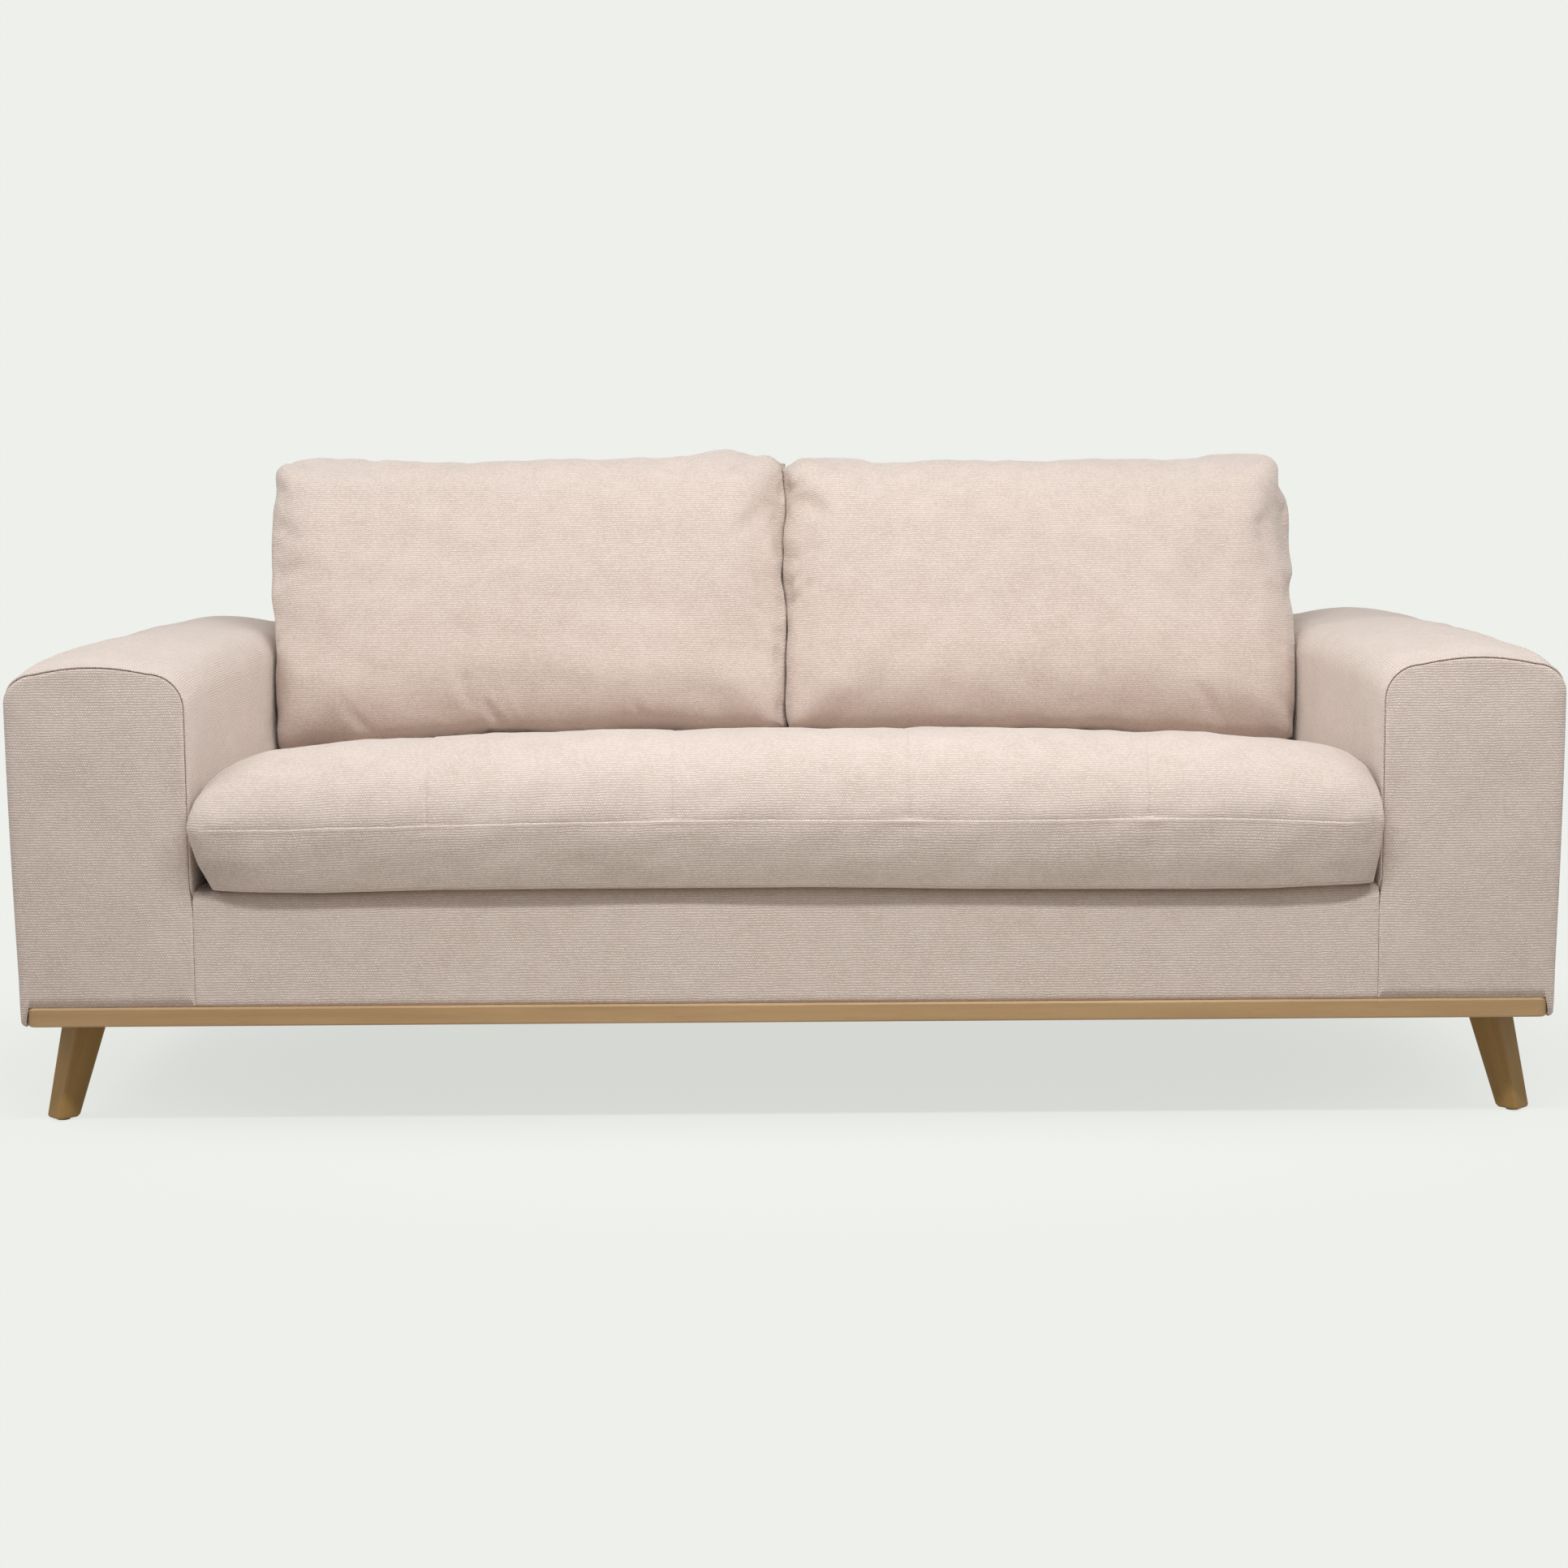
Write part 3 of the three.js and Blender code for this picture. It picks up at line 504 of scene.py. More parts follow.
class Effect:
    """A shader node group with named inputs and outputs, shared by several materials."""

    kinds = {tuple: "NodeSocketColor", float: "NodeSocketFloat", type(None): "NodeSocketVector"}
    outputs = {"Color": tuple, "Height": float, "Roughness": float}

    def __init__(self, name: str, inputs: dict[str, float | Colour | None]) -> None:
        """Makes the group.

        Args:
            name: Name of the group.
            inputs: Default value of each input: a number, three for a colour, or None for
                coordinates.
        """
        self.tree = bpy.data.node_groups.new(name, "ShaderNodeTree")
        new_socket = self.tree.interface.new_socket
        for key, value in inputs.items():
            socket = new_socket(name=key, in_out="INPUT", socket_type=self.kinds[type(value)])
            if value is not None:
                socket.default_value = socket_value(value)
        for key, kind in self.outputs.items():
            new_socket(name=key, in_out="OUTPUT", socket_type=self.kinds[kind])
        self.graph = Graph(self.tree)
        self.given = self.graph.add("NodeGroupInput").outputs
        self.result = self.graph.add("NodeGroupOutput").inputs

    def give(self, *sockets: bpy.types.NodeSocket) -> "Effect":
        """Joins the sockets to the outputs in their order, and returns the effect."""
        for name, socket in zip(self.outputs, sockets):
            self.tree.links.new(socket, self.result[name])
        return self

    def used(
        self, g: Graph, surface: bpy.types.Node, relief: float, strength: float,
        values: dict[str, float | Colour], vector: bpy.types.NodeSocket | None = None,
    ) -> None:
        """Puts the effect into a material.

        Args:
            g: Graph of the material.
            surface: Principled node of the material.
            relief: Height of the effect's relief, in metres.
            strength: Strength of the relief.
            values: Value of each input, by name.
            vector: Coordinates for a group that takes them.
        """
        inputs = {key: socket_value(value) for key, value in values.items()}
        if vector is not None:
            inputs["Vector"] = vector
        node = g.add("ShaderNodeGroup", inputs, node_tree=self.tree)
        raised = g.add("ShaderNodeBump", {
            "Strength": strength, "Distance": relief, "Height": node.outputs["Height"],
        })
        for socket, name in (
            (node.outputs["Color"], "Base Color"), (node.outputs["Roughness"], "Roughness"),
            (raised.outputs["Normal"], "Normal"),
        ):
            g.tree.links.new(socket, surface.inputs[name])


def woven_rows() -> Effect:
    """Builds the woven effect: wandering rows of small uneven knots, painted shade in the gaps between
    the rows, and a soft mottling.
    """
    effect = Effect("Woven rows", {
        "Pitch": 0.0036, "Knot": 0.0034, "Base": (0.7, 0.6, 0.5), "Shade": (0.5, 0.4, 0.3),
        "Nap": (0.8, 0.7, 0.6), "Contrast": 0.5, "Mottle": 0.4,
    })
    g, given = effect.graph, effect.given
    cloth = g.add("ShaderNodeAttribute", attribute_name="cloth").outputs["Vector"]
    wander = g.add("ShaderNodeTexNoise", {"Vector": cloth, "Scale": 55.0, "Detail": 3.0})
    shift = g.vector("SUBTRACT", wander.outputs["Color"], (0.5, 0.5, 0.5))
    moved = g.vector("ADD", cloth, g.vector("MULTIPLY", shift, (0.007, 0.0038, 0)))
    parts = g.add("ShaderNodeSeparateXYZ", {0: moved}).outputs
    row = g.math("DIVIDE", parts["Y"], given["Pitch"])
    knot = g.math("DIVIDE", parts["X"], given["Knot"])
    staggered = g.math("ADD", knot, g.math("MULTIPLY", g.math("FLOOR", row), 0.5))
    own = g.vector("FLOOR", g.add("ShaderNodeCombineXYZ", {0: staggered, 1: row}).outputs[0])
    draw = g.add("ShaderNodeTexWhiteNoise", {"Vector": own}, noise_dimensions="2D")
    ridge, bead = (
        g.math("ABSOLUTE", g.math("SINE", g.math("MULTIPLY", wave, math.pi)))
        for wave in (row, staggered)
    )
    rows = g.math("MULTIPLY", g.math("POWER", ridge, 0.7), g.math("MULTIPLY_ADD", bead, 0.55, 0.45))
    rows = g.math("MULTIPLY", rows, g.math("MULTIPLY_ADD", draw.outputs["Value"], 0.5, 0.65))
    fuzz, drawn, cloud = g.noise(cloth, 900.0, 3.0), g.noise(cloth, 30.0, 4.0), g.noise(cloth, 6.0, 4.0)
    # painted shade: the gaps between the rows, where the height is low, are darkened towards the Shade
    # colour
    deep = g.math("MULTIPLY", g.math("SUBTRACT", 1.0, rows), given["Contrast"])
    fade = g.math("MULTIPLY_ADD", g.math("SUBTRACT", drawn, 0.5), 0.7, 1.0)
    colour = g.mix(g.math("MULTIPLY", deep, fade), given["Base"], given["Shade"])
    worn = g.math("MULTIPLY", g.math("MULTIPLY_ADD", cloud, 2.4, -0.9), given["Mottle"])
    clamped = g.math("MINIMUM", g.math("MAXIMUM", worn, 0.0), 1.0)
    return effect.give(
        g.mix(clamped, colour, given["Nap"]),
        g.math("MULTIPLY_ADD", g.math("SUBTRACT", fuzz, 0.5), 0.6, rows),
        g.math("MULTIPLY_ADD", drawn, 0.12, 0.84),
    )


def wood_grain() -> Effect:
    """Builds the wood effect: long streaks along Z, fine pores and a slow change of tone."""
    effect = Effect("Wood grain", {
        "Vector": None, "Base": (0.6, 0.4, 0.2), "Dark": (0.4, 0.25, 0.12),
        "Light": (0.7, 0.5, 0.3), "Figure": 0.45, "Pores": 0.3, "Shine": 0.4,
    })
    g, given = effect.graph, effect.given
    place = given["Vector"]
    long, fine = (
        g.add("ShaderNodeMapping", {"Vector": place, "Scale": scale}).outputs[0]
        for scale in ((60, 60, 3.2), (900, 900, 30))
    )
    streak, pores, broad = g.noise(long, 1.0, 5.0), g.noise(fine, 1.0, 2.0), g.noise(place, 9.0, 3.0)
    level = g.add("ShaderNodeMapRange", {
        "Value": streak, "From Min": 0.30, "From Max": 0.72, "To Min": 0.0, "To Max": 1.0,
    }).outputs[0]
    toned = g.mix(given["Figure"], given["Base"], g.mix(level, given["Dark"], given["Light"]))
    aged = g.mix(g.math("MULTIPLY", broad, 0.25), toned, given["Dark"])
    fleck = g.math("MULTIPLY", g.math("GREATER_THAN", pores, 0.64), given["Pores"])
    return effect.give(
        g.mix(fleck, aged, given["Dark"]),
        g.math("MULTIPLY_ADD", pores, -0.5, streak),
        g.math("MULTIPLY_ADD", streak, 0.16, given["Shine"]),
    )


def fine_speckle() -> Effect:
    """Builds the speckle of metal, plastic, felt and webbing: fine grit over soft patches."""
    effect = Effect("Fine speckle", {
        "Scale": 1000.0, "Base": (0.3, 0.3, 0.3), "Speckle": (0.2, 0.2, 0.2), "Patches": 0.25,
        "Shine": 0.4,
    })
    g, given = effect.graph, effect.given
    place = g.add("ShaderNodeTexCoord").outputs["Object"]
    grit, patch = g.noise(place, given["Scale"], 3.0), g.noise(place, 24.0, 2.0)
    share = g.math("MULTIPLY_ADD", g.math("SUBTRACT", patch, 0.5), given["Patches"], grit)
    return effect.give(
        g.mix(share, given["Base"], given["Speckle"]), grit,
        g.math("MULTIPLY_ADD", share, 0.2, given["Shine"]),
    )


def new_material(
    name: str, constants: dict[str, float | Colour]
) -> tuple[bpy.types.Material, Graph, bpy.types.Node]:
    """Makes a bare material.

    Args:
        name: Name of the material.
        constants: Values of its surface's inputs, by name.

    Returns:
        The material, its Graph and its Principled node.
    """
    material = bpy.data.materials.new(name)
    material.use_nodes = True
    surface = material.node_tree.nodes["Principled BSDF"]
    for key, value in constants.items():
        surface.inputs[key].default_value = socket_value(value)
    return material, Graph(material.node_tree), surface


@dataclass(frozen=True)
class WovenFinish:
    """Upholstery cloth with fine rows of knots.

    Attributes:
        name: Name of the material.
        base: Colour of the yarn.
        shade: Colour of the painted shade in the gaps between the rows.
        nap: Colour of the rubbed, paler places.
        pitch: Distance between rows, in metres.
        knot: Length of a knot along its row, in metres.
        contrast: How dark the painted shade in the gaps is.
        mottle: How strong the paler places are.
        relief: Height of the rows, in metres.
    """

    name: str
    base: Colour
    shade: Colour
    nap: Colour
    pitch: float = 0.0034
    knot: float = 0.0034
    contrast: float = 0.70
    mottle: float = 0.16
    relief: float = 0.0007

    def material(self, weave: Effect) -> bpy.types.Material:
        """Builds the material around the woven effect."""
        material, g, surface = new_material(self.name, {
            "Sheen Weight": 0.5, "Sheen Roughness": 0.55, "Sheen Tint": (1.0, 0.94, 0.88),
            "Specular IOR Level": 0.25,
        })
        weave.used(g, surface, self.relief, 0.8, {
            "Pitch": self.pitch, "Knot": self.knot, "Base": self.base, "Shade": self.shade,
            "Nap": self.nap, "Contrast": self.contrast, "Mottle": self.mottle,
        })
        return material


@dataclass(frozen=True)
class WoodFinish:
    """Oiled or sawn wood with grain along one direction.

    Attributes:
        name: Name of the material.
        base: Middle colour.
        dark: Colour of the late wood and pores.
        light: Colour of the early wood.
        along: Direction of the grain.
        roughness: Middle roughness.
        coat: Weight of the lacquer.
    """

    name: str
    base: Colour
    dark: Colour
    light: Colour
    along: tuple[float, float, float] = (0, 0, 1)
    roughness: float = 0.42
    coat: float = 0.12

    def material(self, grain: Effect) -> bpy.types.Material:
        """Builds the material around the wood effect, its grain turned along the piece."""
        material, g, surface = new_material(
            self.name, {"Coat Weight": self.coat, "Coat Roughness": 0.3}
        )
        place = g.add("ShaderNodeTexCoord").outputs["Object"]
        turn = Vector(self.along).rotation_difference(Vector((0, 0, 1))).to_euler()
        lined = g.add("ShaderNodeMapping", {"Vector": place, "Rotation": tuple(turn)})
        grain.used(g, surface, 0.0003, 0.35, {
            "Base": self.base, "Dark": self.dark, "Light": self.light,
            "Figure": 0.42, "Pores": 0.28, "Shine": self.roughness - 0.08,
        }, lined.outputs[0])
        return material


@dataclass(frozen=True)
class PlainFinish:
    """Metal, plastic, felt or webbing with a fine speckle.

    Attributes:
        name: Name of the material.
        base: Colour.
        speckle: Second colour of the speckle.
        scale: Speckles per metre.
        roughness: Middle roughness.
        metallic: 1 for metal.
        relief: Height of the speckle, in metres.
    """

    name: str
    base: Colour
    speckle: Colour
    scale: float
    roughness: float
    metallic: float = 0.0
    relief: float = 0.0001

    def material(self, speckle: Effect) -> bpy.types.Material:
        """Builds the material around the speckled effect."""
        material, g, surface = new_material(self.name, {"Metallic": self.metallic})
        speckle.used(g, surface, self.relief, 0.5, {
            "Scale": self.scale, "Base": self.base, "Speckle": self.speckle,
            "Shine": self.roughness - 0.1,
        })
        return material


class Finishes:
    """All materials of the sofa, each built once."""

    def __init__(self) -> None:
        """Builds the shared effects and every material."""
        weave, self.grain, speckle = woven_rows(), wood_grain(), fine_speckle()
        # each woven finish: yarn colour, painted shade between the rows, and the paler nap
        self.cloth = WovenFinish(
            "Sofa cloth", linear(229, 212, 202), linear(164, 143, 128), linear(238, 223, 214)
        ).material(weave)
        self.deck = WovenFinish(
            "Platform cloth", linear(188, 176, 166), linear(150, 138, 128),
            linear(200, 190, 180), pitch=0.0012, knot=0.0012, contrast=0.3, relief=0.0003,
        ).material(weave)
        self.plinth = WoodFinish(
            "Beech plinth", linear(182, 147, 103), linear(150, 112, 69),
            linear(196, 164, 122), (1, 0, 0),
        ).material(self.grain)
        self.stained = WoodFinish(
            "Beech leg", linear(156, 119, 60), linear(118, 86, 34), linear(172, 136, 80),
            roughness=0.55, coat=0.0,
        )
        sawn = WoodFinish(
            "Sawn timber", linear(205, 176, 132), linear(170, 134, 92), linear(222, 198, 158),
            roughness=0.75, coat=0.0,
        )
        self.timber_x, self.timber_y, self.timber_z = (
            replace(sawn, name=f"Sawn timber {word}", along=along).material(self.grain)
            for word, along in (
                ("across", (1, 0, 0)), ("lengthwise", (0, 1, 0)), ("upright", (0, 0, 1)),
            )
        )
        self.steel, self.plastic, self.lining, self.webbing = (
            PlainFinish(name, linear(*base), linear(*second), *rest).material(speckle)
            for name, base, second, *rest in (
                ("Spring steel", (150, 152, 155), (118, 120, 124), 900, 0.34, 1.0),
                ("Glide plastic", (74, 72, 70), (60, 58, 57), 1600, 0.5),
                ("Dust lining", (46, 45, 45), (66, 64, 63), 2500, 0.9, 0.0, 0.0003),
                ("Elastic webbing", (58, 56, 54), (84, 80, 76), 1500, 0.85, 0.0, 0.0004),
            )
        )

    def leg(self, name: str, along: tuple[float, float, float]) -> bpy.types.Material:
        """Builds the beech of one leg, with its grain down the leg's own slope."""
        return replace(self.stained, name=f"Beech {name}", along=along).material(self.grain)


# ---- Arms -----------------------------------------------------------------------------


@dataclass
class Arm:
    """One arm: its cover over the top and sides, and its padded front panel.

    The panel's seam runs round the arch and down the inner side just inside the front's
    edge; on the outer side the panel turns the corner and the seam lies on the side.

    Attributes:
        side: Which end of the sofa it closes.
        places: Where the frame carries it.
        width: Width of the arm.
        radius: Radius of its inner shoulder.
        outer_radius: Radius of its outer shoulder.
        crown: Swell of its top across the arm.
        rise: Rise of its top towards the rear.
        rise_span: Share of its length over which it rises.
        flare: How far the outer side leans out towards the shoulder.
        hem: How far the outer side turns in at its foot.
        wall: Thickness of the cover's skin.
        inner_foot: Height where the cover's inner side ends, below the seat.
        panel_depth: Depth of the front panel.
        body_start: Depth behind the seam where the plain cover begins.
        rear_round: Depth over which it rounds off to its rear wall.
        rear_ease: How far it draws in there.
        rear_corner: Where the rear wall's threads meet, out from its inner foot.
        step: Size of its mesh's cells.
    """

    side: Side
    places: Places
    width: float = 0.243
    radius: float = 0.050
    outer_radius: float = 0.042
    crown: float = 0.009
    rise: float = 0.018
    rise_span: float = 0.35
    flare: float = 0.007
    hem: float = 0.008
    wall: float = 0.006
    inner_foot: float = 0.2775
    panel_depth: float = 0.0263
    body_start: float = 0.030
    rear_round: float = 0.030
    rear_ease: float = 0.012
    rear_corner: float = 0.003
    step: float = 0.007

    # (depth, inset) of the cover's lip, from inside the seam outwards
    lip_front = (
        (0.0060, 0.0036), (0.0028, 0.0033), (0.0014, 0.0027), (0.0009, 0.0018),
        (0.0013, 0.0009), (0.0030, 0.0002), (0.0065, 0.0), (0.0130, 0.0),
    )
    lip_side = (
        (0.0150, 0.0030), (0.0125, 0.0024), (0.0112, 0.0016), (0.0106, 0.0006),
        (0.0110, 0.0001), (0.0122, 0.0), (0.0150, 0.0), (0.0185, 0.0),
    )
    # (depth, inset) of the panel's edge, from inside the seam to its flat front
    edge_front = (
        (0.0255, 0.0046), (0.0120, 0.0044), (0.0060, 0.0042), (0.0028, 0.0039),
        (0.0012, 0.0044), (0.0005, 0.0058), (0.0001, 0.0090), (0.0000, 0.0140),
    )
    edge_side = (
        (0.0255, 0.0045), (0.0130, 0.0034), (0.0102, 0.0014), (0.0097, 0.0003),
        (0.0078, 0.0000), (0.0042, 0.0013), (0.0014, 0.0048), (0.0000, 0.0130),
    )

    def outline(self, top: float, inner_foot: float) -> Grid:
        """The arm's section as (x, z), from its inner foot over the top to its outer foot.

        Args:
            top: Height of the section's crown.
            inner_foot: Lowest height on the inner side.

        Returns:
            Dense points, x outwards from the arm's inner face.
        """
        r, outer, hem, x1 = self.radius, self.outer_radius, self.hem, self.width
        level = top - self.crown
        shoulder = level - outer
        low = self.places.base + hem
        t = np.linspace(0, 1, 50)[1:-1, None]
        down = np.linspace(0, 1, 60)[1:, None]
        return np.concatenate([
            [[0, inner_foot]],
            arc((r, level - r), (r, r), BACK, UP, 40),
            np.hstack([r + t * (x1 - r - outer), level + self.crown * 4 * t * (1 - t)]),
            arc((x1 - outer, shoulder), (outer, outer), UP, LEVEL, 40),
            np.hstack([x1 - self.flare * down**2, shoulder + (low - shoulder) * down]),
            arc((x1 - self.flare - hem, low), (hem, hem), LEVEL, DOWN, 10)[1:],
        ])

    def section(self, depth: float, inner_foot: float, count: int) -> tuple[Grid, Grid]:
        """Even points of the section at a depth, and their outward normals."""
        t = np.clip((depth - self.panel_depth) / (self.places.rear - self.panel_depth), 0, 1)
        up = math.sqrt(math.sin(math.pi / 2 * min(1.0, t / self.rise_span)))
        dense = self.outline(self.places.arm_top + self.rise * up, inner_foot)
        points = resampled(dense, np.linspace(0, length_of(dense), count))
        run = np.gradient(points, axis=0)
        normal = np.stack([-run[:, 1], run[:, 0]], axis=1)
        return points, normal / np.linalg.norm(normal, axis=1, keepdims=True)

    def seam_shares(self, points: Grid) -> tuple[Grid, Grid]:
        """For each point of a section: how far the seam is on the side, and how far it shows."""
        top = self.places.arm_top
        outer = points[:, 0] > self.width / 2
        side = np.where(outer, smoothstep(top - points[:, 1], 0.012, 0.045), 0.0)
        shows = np.where(outer, 1.0, smoothstep(points[:, 1], 0.285, 0.335))
        return side, shows

    def placed(self, grid: Grid) -> Grid:
        """Moves (x outwards, depth, z) points to this end of the sofa."""
        out = grid.copy()
        out[..., 0] = self.side.value * (self.places.inner + grid[..., 0])
        out[..., 1] = self.places.y(grid[..., 1])
        return out

    def cover(self) -> tuple[Grid, Grid]:
        """The cover's grid and cloth coordinates: a thin skin with a rear wall."""
        p = self.places
        rear, wall = p.rear, self.wall
        bare, _ = self.section(0.0, self.inner_foot, 400)
        count = int(length_of(bare) / self.step)
        bare, normal = self.section(0.0, self.inner_foot, count)
        side, shows = self.seam_shares(bare)
        outer_rings: list[Grid] = []
        inner_rings: list[Grid] = []

        def lay(points: Grid, depth: Grid, skin: Grid, skin_depth: Grid) -> None:
            """Adds a ring of the cover's outside and the ring of its inside behind it."""
            outer_rings.append(np.stack([points[:, 0], depth, points[:, 1]], 1))
            inner_rings.append(np.stack([skin[:, 0], skin_depth, skin[:, 1]], 1))

        for i, (near, far) in enumerate(zip(self.lip_front, self.lip_side)):
            depth, inset = (ahead + side * (aside - ahead) for ahead, aside in zip(near, far))
            depth = shows * depth + (1 - shows) * (self.panel_depth + 0.0004 * i)
            inset = shows * inset + (1 - shows) * 0.0003
            skin = bare - normal * (inset + wall * i / 7)[:, None]
            lay(bare - normal * inset[:, None], depth, skin, depth + 0.0005 * i)
        last_section = rear - self.rear_round
        for depth in spaced(self.body_start, last_section, self.step * 1.1):
            points, normal = self.section(depth, self.inner_foot, count)
            deep = np.full(count, depth)
            lay(points, deep, points - normal * wall, deep)
        points, normal = self.section(last_section, self.inner_foot, count)
        for a in np.linspace(0, math.pi / 2, 9)[1:]:
            ease = self.rear_ease * (1 - math.cos(a))
            deep = np.full(count, last_section + self.rear_round * math.sin(a))
            skin = points - normal * (ease + wall)
            lay(points - normal * ease, deep, skin, deep - wall * math.sin(a))
        corner = np.array([self.rear_corner, 0, p.base])
        walls = (0.999, 0.95, 0.9, 0.82, 0.72, 0.6, 0.46, 0.32, 0.18, 0.06)
        for rings in (outer_rings, inner_rings):
            last = rings[-1]
            for share in walls:
                part = corner + share * (last - corner)
                part[:, 1] = last[:, 1]
                rings.append(part)
        grid = np.concatenate([np.stack(outer_rings), np.stack(inner_rings)[:, ::-1]], axis=1)
        grid[0, count:] = grid[0, :count][::-1]
        end = grid[-1].mean(axis=0)
        grid = np.concatenate([grid, np.broadcast_to(end, (1, 2 * count, 3))])
        grid[..., 2] = np.maximum(grid[..., 2], p.base)
        run, round_body = run_of(grid[:, count // 2]), run_of(grid[len(self.lip_front) + 2])
        cloth = np.stack(np.broadcast_arrays(run[:, None], round_body[None]), axis=2).copy()
        cloth[-len(walls) - 1:] = grid[-len(walls) - 1:, :, ::2]
        normal3 = normals_of(grid[:, :count], wrapped=False)
        uneven = sum(
            height * ripple(cloth[..., 0], cloth[..., 1], wave, seed + self.side.value)
            for height, wave, seed in ((0.0013, 0.25, 3), (0.0005, 0.09, 6))
        )
        calm = smoothstep(grid[..., 1], 0.02, 0.09)
        calm = calm * (1 - smoothstep(grid[..., 1], rear - 0.05, rear))
        calm = calm * smoothstep(grid[..., 2], p.base + 0.01, p.base + 0.08)
        calm = calm * smoothstep(grid[..., 2], 0.0, self.inner_foot + 0.02)
        lift = (uneven * calm)[:, :count]
        inner = grid[:, :count, 0] < 0.002
        lift = np.where(inner, np.minimum(lift, 0), lift)
        grid[:, :count] += normal3 * lift[..., None]
        return self.placed(grid), cloth

    def panel(self) -> tuple[Grid, Grid]:
        """The front panel's grid and cloth coordinates: a shallow pad inside the seam."""
        p = self.places
        foot = p.cover_foot
        count = 300
        bare, normal = self.section(0.0, foot, count)
        side, shows = self.seam_shares(bare)
        near_foot = 0.2 + 0.8 * smoothstep(bare[:, 1], foot, foot + 0.06)
        middle = np.array([self.width / 2, (foot + p.arm_top) / 2])
        rings = []

        def ring_at(depth: Grid, inset: Grid, shrink: float) -> Grid:
            """One ring of the panel, with its foot along the plinth."""
            flat = bare - normal * inset[:, None]
            end = self.width - self.flare - self.hem + 0.0004
            flat[:, 1] = np.where(flat[:, 0] < end, np.maximum(flat[:, 1], foot), flat[:, 1])
            flat[-1] = (end, max(p.base, flat[-2, 1] - 0.001))
            sole = np.linspace([end, foot], [flat[0, 0], foot], 60)[:-1]
            if shrink < 1:
                under = np.clip((foot - flat[:, 1]) / (foot - p.base), 0, 1)
                flat[:, 0] += under * (end - flat[:, 0])
                flat[:, 1] = np.maximum(flat[:, 1], foot)
            ring = np.concatenate([flat, sole])
            deep = np.concatenate([depth, np.full(len(sole), depth.mean())])
            deep[count:] = np.interp(np.arange(len(sole)), [0, len(sole)], [depth[-1], depth[0]])
            ring = middle + shrink * (ring - middle)
            return np.stack([ring[:, 0], deep, ring[:, 1]], 1)

        for near, far in zip(self.edge_front, self.edge_side):
            depth, inset = (ahead + side * (aside - ahead) for ahead, aside in zip(near, far))
            inset = (inset - (1 - shows) * np.minimum(inset, 0.0037)) * near_foot
            rings.append(ring_at(depth, inset, 1.0))
        last = inset
        for shrink in np.linspace(1, 0, 16)[1:]:
            depth = np.full(count, -0.0022 * (1 - shrink**3))
            rings.append(ring_at(depth, last, float(shrink)))
        grid = np.stack(rings)
        face = smoothstep(0.002 - grid[..., 1], 0.0, 0.002)
        grid[..., 1] -= 0.0008 * face * ripple(grid[..., 0], grid[..., 2], 0.13, 11)
        core = np.array([middle[0], grid[0, :, 1].mean(), middle[1]])
        back = [core + shrink * (grid[0] - core) for shrink in (0.0, 0.3, 0.6, 0.85)]
        grid = np.concatenate([np.stack(back), grid])
        return self.placed(grid), grid[..., ::2]

    def build(self, finishes: "Finishes") -> None:
        """Builds and dresses both pieces of the arm."""
        tag = self.side.tag
        for name, node, shape in (
            ("cover", "arm_cover", self.cover()), ("front_panel", "arm_front_panel", self.panel())
        ):
            piece, _ = mesh_piece(f"arm_{tag}_{name}", *shape, close=name == "front_panel")
            outfit(piece, finishes.cloth, "frame", [f"{node}_{tag}"])


# ---- Front rail -----------------------------------------------------------------------


